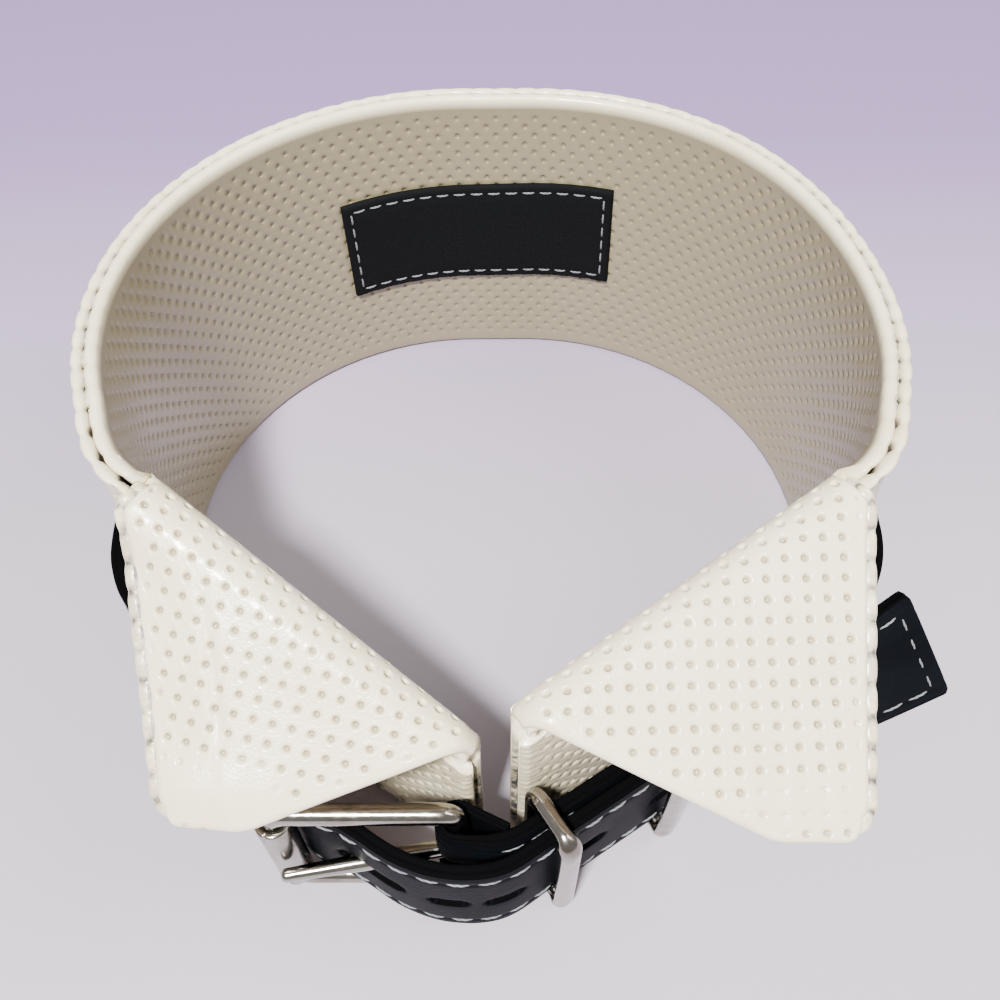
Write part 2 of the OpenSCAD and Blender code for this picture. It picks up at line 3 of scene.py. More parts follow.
import bmesh
import bpy
import numpy as np
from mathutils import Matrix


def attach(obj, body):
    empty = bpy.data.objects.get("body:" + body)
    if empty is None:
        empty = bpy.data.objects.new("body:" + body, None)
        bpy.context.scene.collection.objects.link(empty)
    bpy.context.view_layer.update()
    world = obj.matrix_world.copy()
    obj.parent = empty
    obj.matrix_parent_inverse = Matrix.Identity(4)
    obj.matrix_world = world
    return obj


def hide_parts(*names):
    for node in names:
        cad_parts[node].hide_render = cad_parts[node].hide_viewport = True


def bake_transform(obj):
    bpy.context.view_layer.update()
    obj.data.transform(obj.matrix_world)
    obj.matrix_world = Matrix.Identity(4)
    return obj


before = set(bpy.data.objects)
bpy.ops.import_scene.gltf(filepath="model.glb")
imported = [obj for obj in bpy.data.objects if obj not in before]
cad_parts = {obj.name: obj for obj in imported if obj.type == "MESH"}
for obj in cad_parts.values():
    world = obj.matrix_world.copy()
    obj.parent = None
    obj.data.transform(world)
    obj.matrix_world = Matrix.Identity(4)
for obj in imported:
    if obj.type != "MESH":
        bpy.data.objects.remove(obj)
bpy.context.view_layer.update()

# Shared helpers: shapes are worked out in millimetres and radians, and become meshes in metres.
# Soft pieces are tubes of closed rings, so that each has a face, turned edges and a back.
mm = 0.001
full_turn = 2 * math.pi
upright = np.array([0.0, 0.0, 1.0])
arc_points = 241


def heading(turn):
    """Direction in the plan, for one turn or many."""
    return np.stack([np.cos(turn), np.sin(turn)], axis=-1)


def tangent_turn(a_centre, a_radius, b_centre, b_radius, side=-1):
    """Direction of the outward normal of the straight that joins two arcs; side is 1 going clockwise."""
    step = b_centre - a_centre
    lean = math.acos((a_radius - b_radius) / np.linalg.norm(step))
    return math.atan2(step[1], step[0]) + side * lean


def arc_line(arcs):
    """Points and normal directions along arcs (centre, radius, from, to), with straights between them."""
    turns = [np.linspace(start, end, arc_points if radius else 1) for _, radius, start, end in arcs]
    points = [centre + radius * heading(turn) for (centre, radius, _, _), turn in zip(arcs, turns)]
    return np.concatenate(points), np.concatenate(turns)


def lengths_along(points):
    """Distance from the first point to each point of a line."""
    return np.concatenate([[0.0], np.cumsum(np.linalg.norm(np.diff(points, axis=0), axis=1))])


def follow(at, steps, table):
    """Each column of a table, read at distances along the line it belongs to."""
    return np.stack([np.interp(at, steps, column) for column in table.T], axis=-1)


def ease(value, low, high):
    """Smooth step from 0 at low to 1 at high."""
    share = np.clip((value - low) / (high - low), 0, 1)
    return share * share * (3 - 2 * share)


def bell(away, width):
    """Soft hump: 1 in the middle, fading with distance."""
    return np.exp(-((away / width) ** 2))


def mix(a, b, share):
    """Value between a and b."""
    return a + (b - a) * share


def ring_faces(columns, rows, first=0):
    """Quads of a tube whose columns are closed rings of rows."""
    c, r = np.meshgrid(np.arange(columns - 1), np.arange(rows), indexing="ij")
    after = (r + 1) % rows
    quads = np.stack([c * rows + r, (c + 1) * rows + r, (c + 1) * rows + after, c * rows + after], axis=-1)
    return quads.reshape(-1, 4) + first


def end_caps(columns, rows, first=0):
    """Many-sided faces that close both ends of a tube."""
    starts = (first, first + (columns - 1) * rows)
    return [list(range(start, start + rows)) for start in starts]


def loop_faces(columns, rows):
    """Quads of a tube whose last ring joins its first."""
    last = (columns - 1) * rows
    joint = [[last + k, k, (k + 1) % rows, last + (k + 1) % rows] for k in range(rows)]
    return ring_faces(columns, rows).tolist() + joint


def end_faces(rows, first):
    """Quads that close a ring whose point i lies across from point rows - 1 - i."""
    i = np.arange(rows // 2 - 1)
    return np.stack([i, i + 1, rows - 2 - i, rows - 1 - i], axis=-1) + first


def make_piece(name, points, faces, material, marks=None):
    """Smooth mesh object from points in millimetres, with values that its material reads at each point."""
    mesh = bpy.data.meshes.new(name)
    mesh.from_pydata((np.asarray(points) * mm).tolist(), [], faces)
    for label, values in (marks or {}).items():
        values = np.asarray(values, np.float32)
        kind = "FLOAT_VECTOR" if values.ndim == 2 else "FLOAT"
        mark = mesh.attributes.new(label, kind, "POINT")
        mark.data.foreach_set("vector" if values.ndim == 2 else "value", values.ravel())
    work = bmesh.new()
    work.from_mesh(mesh)
    loose = [v for v in work.verts if not v.link_faces]
    bmesh.ops.delete(work, geom=loose, context="VERTS")
    bmesh.ops.recalc_face_normals(work, faces=work.faces)
    work.to_mesh(mesh)
    work.free()
    mesh.shade_smooth()
    mesh.materials.append(material)
    made = bpy.data.objects.new(name, mesh)
    bpy.context.scene.collection.objects.link(made)
    return made


# Material helpers: each places a shader node and gives the socket that carries its result.
# Groups give only numbers that vary over a surface; every material mixes its own colours from them.
def fill(tree, sockets, values):
    """Set each socket to a value, or link it to the socket that feeds it."""
    for key, value in values.items():
        if isinstance(value, bpy.types.NodeSocket):
            tree.links.new(value, sockets[key])
        else:
            sockets[key].default_value = value


def add_node(tree, kind, inputs=None, **settings):
    """New shader node with its settings and inputs."""
    made = tree.nodes.new(kind)
    for label, value in settings.items():
        setattr(made, label, value)
    fill(tree, made.inputs, inputs or {})
    return made


def calc(tree, operation, a, b=0.0):
    """Result of a maths node."""
    return add_node(tree, "ShaderNodeMath", {0: a, 1: b}, operation=operation).outputs[0]


def times(tree, a, b):
    """Product of two values."""
    return calc(tree, "MULTIPLY", a, b)


def plus(tree, a, b):
    """Sum of two values."""
    return calc(tree, "ADD", a, b)


def minus(tree, a, b):
    """Difference of two values."""
    return calc(tree, "SUBTRACT", a, b)


def blend_colour(tree, share, a, b):
    """Colour between a and b."""
    ends = {0: share, 6: (*a, 1) if isinstance(a, tuple) else a, 7: (*b, 1)}
    return add_node(tree, "ShaderNodeMix", ends, data_type="RGBA").outputs[2]


def span(tree, value, low, high, to_low=0.0, to_high=1.0):
    """Value carried from one range to another and held inside it."""
    ends = {0: value, 1: low, 2: high, 3: to_low, 4: to_high}
    return add_node(tree, "ShaderNodeMapRange", ends).outputs[0]


def noise(tree, at, scale, detail, rough=0.5):
    """Value of a noise texture."""
    inputs = {"Vector": at, "Scale": scale, "Detail": detail, "Roughness": rough}
    return add_node(tree, "ShaderNodeTexNoise", inputs).outputs[0]


def own_place(tree):
    """Place in the piece's own space."""
    return add_node(tree, "ShaderNodeTexCoord").outputs["Object"]


def mark_value(tree, label, output="Fac"):
    """Value that make_piece left at each point of the mesh."""
    return add_node(tree, "ShaderNodeAttribute", attribute_name=label).outputs[output]


def split_vector(tree, vector):
    """The three parts of a vector."""
    return add_node(tree, "ShaderNodeSeparateXYZ", {0: vector}).outputs


def bump_into(tree, height, depth, strength):
    """Normal from a height; depth in metres."""
    inputs = {"Height": height, "Distance": depth, "Strength": strength}
    return add_node(tree, "ShaderNodeBump", inputs).outputs[0]


def new_group(name, inputs, outputs):
    """Shader node group with number inputs and outputs; gives its tree and its end sockets."""
    tree = bpy.data.node_groups.new(name, "ShaderNodeTree")
    for label, value in inputs.items():
        socket = tree.interface.new_socket(label, in_out="INPUT", socket_type="NodeSocketFloat")
        socket.default_value = value
    for label in outputs:
        tree.interface.new_socket(label, in_out="OUTPUT", socket_type="NodeSocketFloat")
    start = tree.nodes.new("NodeGroupInput")
    end = tree.nodes.new("NodeGroupOutput")
    return tree, start.outputs, end.inputs


def place_group(tree, group, **inputs):
    """A node group placed in a material with its own values; gives its outputs."""
    made = tree.nodes.new("ShaderNodeGroup")
    made.node_tree = group
    fill(tree, made.inputs, inputs)
    return made.outputs


def new_material(name):
    """Empty principled material; gives it, its tree and its shader's inputs."""
    made = bpy.data.materials.new(name)
    made.use_nodes = True
    return made, made.node_tree, made.node_tree.nodes["Principled BSDF"].inputs


# Pebbled leather grain: rounded cells with fine creases, and broad patches where it is handled.
leather_grain, grain_in, grain_out = new_group(
    "leather_grain", {"Cells": 1800.0, "Patches": 40.0}, ["Height", "Mottle"]
)
grain_at = own_place(leather_grain)
grain_cells = add_node(
    leather_grain, "ShaderNodeTexVoronoi", {"Vector": grain_at, "Scale": grain_in["Cells"]},
    feature="SMOOTH_F1",
).outputs["Distance"]
grain_fine = noise(leather_grain, grain_at, times(leather_grain, grain_in["Cells"], 1.7), 3.0)
grain_patch = noise(leather_grain, grain_at, grain_in["Patches"], 5.0, 0.6)
fill(leather_grain, grain_out, {
    "Height": plus(leather_grain, grain_cells, times(leather_grain, grain_fine, 0.6)),
    "Mottle": span(leather_grain, grain_patch, 0.3, 0.7),
})

# Handling grime: broken dark specks that gather in seams, holes and corners.
seam_grime, grime_in, grime_out = new_group("seam_grime", {"Specks": 500.0, "Cover": 0.5}, ["Mask"])
grime_noise = noise(seam_grime, own_place(seam_grime), grime_in["Specks"], 6.0, 0.7)
grime_above = minus(seam_grime, grime_noise, minus(seam_grime, 1.0, grime_in["Cover"]))
fill(seam_grime, grime_out, {"Mask": span(seam_grime, grime_above, -0.08, 0.12)})

# Spun fibre: fine hairs and slubs that run through thread and woven cloth.
spun_fibre, fibre_in, fibre_out = new_group(
    "spun_fibre", {"Hairs": 6000.0, "Slubs": 350.0}, ["Height", "Tone"]
)
fibre_at = own_place(spun_fibre)
fibre_slub = noise(spun_fibre, fibre_at, fibre_in["Slubs"], 2.0)
fill(spun_fibre, fibre_out, {
    "Height": noise(spun_fibre, fibre_at, fibre_in["Hairs"], 3.0),
    "Tone": span(spun_fibre, fibre_slub, 0.3, 0.7),
})


def thread_material(name, light, dark, soil):
    """Twisted sewing thread: lighter plies with painted shade between them, and soiled lengths."""
    made, tree, shader = new_material(name)
    fibre = place_group(tree, spun_fibre, Hairs=7000.0, Slubs=300.0)
    grime = place_group(tree, seam_grime, Specks=260.0, Cover=soil)
    # Painted shade: the thread is darker in the grooves between its plies
    tone = blend_colour(tree, span(tree, mark_value(tree, "plies"), -1.0, 0.3), dark, light)
    tone = blend_colour(tree, times(tree, fibre["Tone"], 0.35), tone, dark)
    tone = blend_colour(tree, times(tree, grime["Mask"], 0.8), tone, (0.10, 0.095, 0.09))
    fill(tree, shader, {
        "Base Color": tone,
        "Roughness": span(tree, fibre["Tone"], 0.0, 1.0, 0.62, 0.85),
        "Normal": bump_into(tree, fibre["Height"], 0.00006, 0.6),
    })
    return made


cream_thread = thread_material("cream_thread", (0.72, 0.67, 0.57), (0.44, 0.40, 0.33), 0.52)
grey_thread = thread_material("grey_thread", (0.22, 0.23, 0.245), (0.09, 0.094, 0.10), 0.40)

# Neck band: two skins of dimpled cream leatherette over a stiffener, closed along both edges.
# Each edge is two soft rolls, one from each skin, drawn together by a seam that lies in their groove.
# The band is open in front, and below each wing its top is hollowed for the rolled fold.
band_height = 55.5
band_ply = 3.6
back_radius = 48.5
back_centre = np.array([5.0, -3.0])
corner_radius = 14.0
corner_ease = 0.5
point_radius = 3.0
front_reach = 59.0
front_angle = math.radians(33)
front_gap = 3.0
front_dir = np.array([math.cos(front_angle), math.sin(front_angle)])
front_normal = np.array([math.sin(front_angle), -math.cos(front_angle)])
front_turn = front_angle - math.pi / 2
mirror_plan = np.array([-1.0, 1.0])

point_centre = np.array([0.0, point_radius / math.cos(front_angle) - front_reach])
back_depth = (np.array([0.0, -front_reach]) - back_centre) @ front_normal
corner_depth = back_depth - corner_radius
corner_along = corner_ease + math.sqrt((back_radius - corner_radius) ** 2 - corner_depth ** 2)
corner_centre = back_centre + corner_depth * front_normal + corner_along * front_dir
front_start = point_centre + point_radius * front_normal
front_end = corner_centre + corner_radius * front_normal

corner_turn = tangent_turn(corner_centre, corner_radius, back_centre, back_radius)
gap_turn = -math.acos(front_gap / 2 / point_radius)
half_line, half_turns = arc_line([
    (point_centre, point_radius, gap_turn, front_turn),
    (corner_centre, corner_radius, front_turn, corner_turn),
    (back_centre, back_radius, corner_turn, math.pi / 2),
])
band_line = np.concatenate([half_line, half_line[::-1] * mirror_plan])
band_turns = np.concatenate([half_turns, math.pi - half_turns[::-1]])
band_steps = lengths_along(band_line)
band_length = band_steps[-1]
front_lead = point_radius * (front_turn - gap_turn)

right_lean = 2.2
right_middle = 0.28 * band_length
right_spread = 0.085 * band_length


def on_band(along, out, height):
    """Point at a distance along the band's neck side from its right front end, out from it, and up."""
    turn = np.interp(along, band_steps, band_turns)
    # The worn band has settled: its right side leans in a little towards the top
    lean_in = right_lean * bell(along - right_middle, right_spread)
    out = out - lean_in * (np.asarray(height) / band_height) ** 2
    x = np.interp(along, band_steps, band_line[:, 0]) + out * np.cos(turn)
    y = np.interp(along, band_steps, band_line[:, 1]) + out * np.sin(turn)
    return np.stack(np.broadcast_arrays(x, y, height), axis=-1)


pit_spacing = 1.67
half_pitch = band_length / round(band_length / pit_spacing)
pit_radius = 0.56
pit_depth = 0.50
pit_power = 0.9
pit_rim = 0.02
pit_rim_at = 1.4 * pit_radius
pit_rim_width = 0.22


def dimple(along, height):
    """Depth of the embossing at a place on the sheet: pits in a diamond field, each with a raised rim."""
    a = (along + height) / (2 * half_pitch)
    b = (along - height) / (2 * half_pitch)
    a = a - np.round(a)
    b = b - np.round(b)
    away = half_pitch * np.hypot(a + b, a - b)
    pit = np.clip(1 - (away / pit_radius) ** 2, 0, 1) ** pit_power
    return pit_depth * pit - pit_rim * bell(away - pit_rim_at, pit_rim_width)


# The leatherette's colour follows the same diamond field, with painted shade in the pits' floors.
cream_leather, tree, shader = new_material("cream_leatherette")
sheet_part = split_vector(tree, mark_value(tree, "sheet", "Vector"))
lattice_step = 1 / (2 * half_pitch)
lattice_a = times(tree, plus(tree, sheet_part[0], sheet_part[1]), lattice_step)
lattice_b = times(tree, minus(tree, sheet_part[0], sheet_part[1]), lattice_step)
off_a = minus(tree, lattice_a, calc(tree, "ROUND", lattice_a))
off_b = minus(tree, lattice_b, calc(tree, "ROUND", lattice_b))
off_x = calc(tree, "POWER", plus(tree, off_a, off_b), 2.0)
off_y = calc(tree, "POWER", minus(tree, off_a, off_b), 2.0)
pit_away = times(tree, calc(tree, "SQRT", plus(tree, off_x, off_y)), half_pitch)
pit_mask = times(tree, span(tree, pit_away, 0.50, 0.20), sheet_part[2])
grain = place_group(tree, leather_grain, Cells=3200.0, Patches=45.0)
grime = place_group(tree, seam_grime, Specks=420.0, Cover=0.56)
# Painted shade: the band's upright faces, lit less than the wings, are darkened to an olive beige
painted_shade_share = times(tree, mark_value(tree, "painted_shade"), 0.9)
seam_share = times(tree, mark_value(tree, "seam"), grime["Mask"])
cream = blend_colour(tree, grain["Mottle"], (0.85, 0.735, 0.49), (0.92, 0.825, 0.60))
cream = blend_colour(tree, painted_shade_share, cream, (0.185, 0.155, 0.083))
# Painted shade: the pits' floors are darkened
cream = blend_colour(tree, times(tree, pit_mask, 0.5), cream, (0.20, 0.165, 0.11))
cream = blend_colour(tree, seam_share, cream, (0.055, 0.052, 0.05))
dull = span(tree, grain["Mottle"], 0.0, 1.0, 0.36, 0.27)
relief = minus(tree, times(tree, grain["Height"], 0.25), pit_mask)
fill(tree, shader, {
    "Base Color": cream,
    "Roughness": minus(tree, dull, times(tree, pit_mask, 0.14)),
    "Normal": bump_into(tree, relief, 0.00020, 0.7),
    "Coat Weight": 0.35,
    "Coat Roughness": 0.16,
})

roll_radius = 4.2
fold_short = 1.0
fold_start_z = band_height - roll_radius
fold_run = np.linalg.norm(front_end - front_start) - fold_short
fold_end_z = {"left": 32.5, "right": 41.0}
hollow_gap = 0.1
skin_split = band_ply / 2
groove_gap = 0.02
groove_drops = np.array([0.25, 0.6])
stitch_pitch = 3.6
lining_roll = 0.95
outer_roll = 0.84
roll_points = 9
back_rows = 8


def needle_at(along):
    """1 at each needle hole of an edge seam, falling to 0 half way between two holes."""
    return 0.5 + 0.5 * np.cos(full_turn * along / stitch_pitch)


# Columns stand across the band; the last few at each front end draw the sheet in to a round edge.
columns_per_pit = 3
end_round = 1.1
end_clear = 1.3 * end_round
end_turn = np.radians(np.linspace(80, 0, 6))
column_count = round(band_length * columns_per_pit / half_pitch)
plain_columns = np.arange(2, column_count - 1) * half_pitch / columns_per_pit
along = np.concatenate([
    end_round * (1 - np.sin(end_turn)),
    plain_columns[(plain_columns > end_clear) & (plain_columns < band_length - end_clear)],
    band_length - end_round * (1 - np.sin(end_turn[::-1])),
])
pinch = np.ones(len(along))
pinch[: len(end_turn)] = np.cos(end_turn)
pinch[-len(end_turn):] = np.cos(end_turn[::-1])
on_right = along < band_length / 2
from_front = np.where(on_right, along, band_length - along) - front_lead
past_fold = np.clip(from_front - fold_run, 0, None)
fold_foot = np.where(on_right, fold_end_z["right"], fold_end_z["left"])
fold_lean = np.arctan2(fold_start_z - fold_foot, fold_run)
fold_z = mix(fold_foot, fold_start_z, np.clip(from_front / fold_run, -0.05, 1.0))
fold_soft = 0.25
under_fold = ease(fold_run - from_front, -fold_soft, fold_soft)
# The thread draws the edges in at each needle hole, most of all beside the folds
plain_gather = 0.14
fold_gather = 0.30
fold_gather_reach = 26
gather_wave = 0.06
needle = needle_at(along)
gather = plain_gather + fold_gather * np.exp(-past_fold / fold_gather_reach)
gather = gather + gather_wave * np.sin(along * 0.21)

# Rows climb the face between its two edges, or up to the hollow below a fold.
rows_per_pit = 4
first_row = 5
rows_up_to = 53.4
row_numbers = np.arange(first_row, int(rows_up_to / half_pitch * rows_per_pit) + 1)
row_heights = row_numbers * half_pitch / rows_per_pit
edge_margin = 1.5
hollow_margin = 0.4

press_low = (2.0, 3.6)
press_high = (4.2, 2.6)
press_front = (1.0, 4.0)
press_fold = (3.5, 1.0)
lining_lip_out = (-0.22, -0.25, -0.12)
lining_lip_rise = (-0.9, -0.35, -0.1)
lining_gather = 0.3
hole_sink = 0.45
hole_draw = 0.18
pucker_depth = 0.15
pucker_reach = 5.5
lean_out_rate = 0.52
lean_out_reach = 6.5
lean_on_reach = 7.0
# Painted shade is weaker on the outer face, and left off a strip below the top edge
outer_painted_shade = 0.3
unshaded_top_strip = 1.2


def turned_edge(roll_out, roll, face_sign):
    """Points (out, rise from the edge) from a skin's face round its turned edge into the seam's groove."""
    first, last = (180, 20) if face_sign > 0 else (0, 160)
    turn = np.radians(np.linspace(first, last, roll_points))
    split = skin_split - face_sign * groove_gap
    out = np.append(roll_out + roll * np.cos(turn), [split, split])
    rise = roll * np.sin(turn) - roll
    return out, np.append(rise, rise[-1] - groove_drops)


def fold_hollow(face_out, split, count, face_sign):
    """Points (out, rise from the fold's line) of the hollow below a wing's rolled fold."""
    out = mix(face_out, split, np.linspace(0, 1, count))
    lip = len(lining_lip_out) if face_sign > 0 else 0
    out[:lip] = lining_lip_out[:lip]
    rise = -np.sqrt(np.clip((roll_radius + hollow_gap) ** 2 - (roll_radius - out) ** 2, 0, None))
    rise[:lip] = lining_lip_rise[:lip]
    return out, rise


def press_share(face_z, fold_share):
    """How deep the dimples are pressed: full on the face, fading to its edges, front ends and folds."""
    share = ease(face_z, *press_low) * (1 - ease(face_z, *(band_height - drop for drop in press_high)))
    share = share * ease(from_front, *press_front)[:, None]
    return share * (1 - fold_share * ease(face_z, *(fold_z[:, None] - drop for drop in press_fold)))


def puckers(height):
    """Fine waves in the leather where it is pressed together at the front ends, below the folds."""
    front = from_front[:, None]
    wave = np.sin(4.4 * height + 1.6 * np.sin(0.7 * height) + 1.9 * front)
    wave = wave * (0.6 + 0.4 * np.sin(1.3 * height + 2.1 * front))
    fade = np.exp(-np.clip(from_front, 0, None) / pucker_reach)[:, None]
    return pucker_depth * fade * wave * ease(height, 3, 9)


def skin(name, face_out, roll_out, roll, face_sign):
    """One skin of the band as a closed sheet: its face, its two turned edges and its hidden back."""
    rim_out, rim_rise = turned_edge(roll_out, roll, face_sign)
    count = len(rim_out)
    split = rim_out[-1]
    hollow_out, hollow_rise = fold_hollow(face_out, split, count, face_sign)
    shrink = 1 - (gather * (1.0 if face_sign < 0 else lining_gather) * needle ** 3)[:, None]
    hole = (needle ** 10)[:, None] * np.linspace(0, 1, count) ** 4
    edge_rise = -roll + (rim_rise + roll) * shrink - hole_sink * hole
    edge_out = roll_out + (rim_out - roll_out) * shrink
    edge_out = edge_out - hole_draw * face_sign * hole * ease(np.arange(count), count - 5, count - 2)
    fold_share = under_fold[:, None]
    hollow_z = fold_z[:, None] + hollow_rise / np.cos(fold_lean)[:, None]
    top_out = mix(edge_out, hollow_out, fold_share)
    top_z = mix(band_height + edge_rise, hollow_z, fold_share)
    low_z = -edge_rise
    face_top = mix(band_height - edge_margin, hollow_z[:, 0] - hollow_margin, under_fold)
    rows = (row_heights - row_heights[0]) / (row_heights[-1] - row_heights[0])
    squeezed = row_heights[0] + rows * (face_top - row_heights[0])[:, None]
    face_z = np.where(fold_share > 0, squeezed, row_heights)
    emboss = press_share(face_z, fold_share)
    face = face_out + face_sign * dimple(along[:, None], face_z) * emboss
    back_z = mix(top_z[:, -1:], low_z[:, -1:], np.linspace(0, 1, back_rows)[1:-1])
    plain_back = np.zeros(back_z.shape)
    plain_edge = np.zeros(top_z.shape)
    out = np.concatenate([face, top_out, plain_back + split, edge_out[:, ::-1]], axis=1)
    height = np.concatenate([face_z, top_z, back_z, low_z[:, ::-1]], axis=1)
    pressed = np.concatenate([emboss, plain_edge, plain_back, plain_edge], axis=1)
    # Dirt gathers in the seam's groove, most of all at its needle holes, and a little on the face below it
    dirt = ease(np.arange(count), count - 6, count - 2)
    dirt = dirt * (0.45 + 0.55 * (needle ** 6)[:, None]) * (1 - 0.8 * fold_share)
    face_dirt = 0.16 * bell(band_height - face_z, 3.0) * (1 - fold_share)
    seam = np.concatenate([face_dirt, dirt, plain_back + 1, dirt[:, ::-1]], axis=1)
    out = out + puckers(height)
    # Beside each fold the top leans out on to the wing's rolled leather
    above_fold = np.clip(height - fold_start_z, 0, None)
    out = out + lean_out_rate * above_fold * bell(past_fold, lean_out_reach)[:, None] * (1 - fold_share)
    middle = (face_out + split) / 2
    out = middle + (out - middle) * pinch[:, None]
    # It leans forward there too, so that it meets the end of the wing's roll
    lean_share = np.exp(-past_fold / lean_on_reach)[:, None] * (1 - fold_share)
    shift = above_fold * np.tan(fold_lean)[:, None] * lean_share
    place = along[:, None] + np.where(on_right, -1, 1)[:, None] * shift
    # Painted shade on the band's upright faces, less on the outer one; none on the top strip or the hollow
    painted_shade = np.where(height < band_height - unshaded_top_strip, 1.0 if face_sign > 0 else outer_painted_shade, 0.0)
    painted_shade[:, face_z.shape[1]:] *= 1 - fold_share
    sheet_along = np.broadcast_to(along[:, None], out.shape)
    marks = {
        "sheet": np.stack([sheet_along, height, pressed], axis=-1).reshape(-1, 3),
        "seam": seam.ravel(),
        "painted_shade": painted_shade.ravel(),
    }
    faces = ring_faces(*out.shape).tolist() + end_caps(*out.shape)
    return make_piece(name, on_band(place, out, height).reshape(-1, 3), faces, cream_leather, marks)


lining = skin("band_lining", 0.0, lining_roll, lining_roll, 1)
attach(lining, "collar_band")
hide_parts("lining_panel", "stiffener_core")

outer_skin = skin("band_outer_skin", band_ply, band_ply - outer_roll, outer_roll, -1)
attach(outer_skin, "collar_band")
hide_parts("outer_panel")

# Edge seams: cream sewing thread, two plies twisted, drawn down between the two turned edges.
# Each stitch is a short arched length that goes into a needle hole at both ends.
thread_radius = 0.3
stitch_rings = 11
stitch_sides = 10
stitch_twists = 3


def sew(name, starts, ends, normals, radius, thread):
    """Piece made of separate stitches between two lists of points on a surface."""
    starts, ends, up = (np.asarray(part, float)[:, None, None, :] for part in (starts, ends, normals))
    run = ends - starts
    run = run / np.linalg.norm(run, axis=-1, keepdims=True)
    up = up - run * np.sum(up * run, axis=-1, keepdims=True)
    up = up / np.linalg.norm(up, axis=-1, keepdims=True)
    side = np.cross(run, up)
    share = np.linspace(0, 1, stitch_rings)[None, :, None]
    turn = np.linspace(0, full_turn, stitch_sides + 1)[None, None, :-1]
    # Two plies twist along the stitch, which thins and dives at both ends
    arch = np.sin(math.pi * share)
    plies = np.cos(2 * turn - full_turn * stitch_twists * share)
    thick = radius * (0.84 + 0.16 * plies) * np.clip(arch, 0.02, 1) ** 0.3
    rise = radius * (1.25 * arch ** 0.6 - 0.7)
    middle = starts + (ends - starts) * share[..., None] + up * rise[..., None]
    points = middle + (up * np.cos(turn)[..., None] + side * np.sin(turn)[..., None]) * thick[..., None]
    one_size = stitch_rings * stitch_sides
    caps = [end_faces(stitch_sides, first) for first in (0, one_size - stitch_sides)]
    one = np.concatenate([ring_faces(stitch_rings, stitch_sides), *caps])
    faces = one + (np.arange(len(starts)) * one_size)[:, None, None]
    marks = {"plies": np.broadcast_to(plies, points.shape[:-1]).ravel()}
    return make_piece(name, points.reshape(-1, 3), faces.reshape(-1, 4).tolist(), thread, marks)


top_seam_sink = 0.85
top_seam_margin = 1.5
fold_reach_along = fold_run + front_lead
seam_count = int((band_length - 2 * fold_reach_along) / stitch_pitch) - 1
seam_first = math.ceil((fold_reach_along + top_seam_margin) / stitch_pitch)
seam_holes = (seam_first + np.arange(seam_count + 1)) * stitch_pitch
seam_points = on_band(seam_holes, skin_split, band_height - top_seam_sink)
seam_up = np.tile(upright, (seam_count, 1))
top_seam = sew(
    "top_seam_stitches", seam_points[:-1], seam_points[1:], seam_up, thread_radius, cream_thread
)
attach(top_seam, "collar_band")
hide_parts("top_edge_thread")

low_seam_height = 1.8
low_seam_margin = 6.0
low_seam_gap = 0.06
low_count = int((band_length - 2 * low_seam_margin) / stitch_pitch)
low_holes = low_seam_margin + np.arange(low_count + 1) * stitch_pitch
low_points = on_band(low_holes, band_ply, low_seam_height)
low_turn = np.interp(low_holes[:-1], band_steps, band_turns)
low_out = np.column_stack([heading(low_turn), np.zeros(low_count)])
low_trim = low_seam_gap * (low_points[1:] - low_points[:-1])
low_seam = sew(
    "lower_seam_stitches", low_points[:-1] + low_trim, low_points[1:] - low_trim, low_out,
    thread_radius, cream_thread,
)
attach(low_seam, "collar_band")
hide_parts("bottom_edge_thread")

# Turn-down wings: the band's upper front corners, folded outward so that the lining shows on top.
# Each is skin, stiffener and skin again, rolled over its fold; along the outer side the outer skin's
# gathered edge stands out past the facing, with the seam in the groove between them.
wing_body = {"left": "left_wing", "right": "right_wing"}
wing_turn = {"left": math.radians(119), "right": math.radians(115)}
outer_tip = {"left": np.array([27.5, 24.0]), "right": np.array([25.0, 27.5])}
far_drop = {"left": 5.5, "right": 3.5}
smooth_tip = {"left": 2.5, "right": 0.5}
crease_depth = {"left": 0.42, "right": 0.06}
ripple_depth = {"left": 0.05, "right": 0.06}
lump_rise = {"left": 1.1, "right": 0.5}
tip_step = np.array([7.0, -5.0])
tip_round = 4.5
tip_shift = np.array([0.15, -1.95])
blunt_radius = 7.0
blunt_shift = np.array([-3.1, -2.7])
heel_radius = 3.0
far_radius = 2.0
tuck_turn = 0.3
tuck_ply = 0.6
tuck_from = 0.35
wing_press = 1.35
under_press = 0.7
wing_step = 0.33
wing_rows = 110
wing_under_rows = 36
base_inset = 3.2

press_outer = (2.6, 3.8)
press_front_edge = (1.0, 2.2)
press_tip = 2.5
press_heel = (1.6, 3.2)
press_far = (1.4, 3.0)
facing_roll = 0.8
bead_roll = 0.9
bead_lap = 1.7
bead_lift = 0.8
lap_from = (-9.0, -5.0)
lap_until = (0.95, 0.4)
lip_turn = np.radians(np.linspace(90, -60, 7))
bead_turn = np.radians(np.linspace(75, -90, 9))
groove_width = 0.25
groove_sink = 0.25
groove_rows = slice(4, 10)
wing_hole_draw = 0.35
wing_hole_depth = 1.55

crease_at = 10.0
crease_width = 0.8
crease_slope = 0.36
ripple_reach = 7.0
lump_reach = 3.6
wave_depth = 0.12
fold_worn_length = 3.5
fold_worn_depth = 1.3


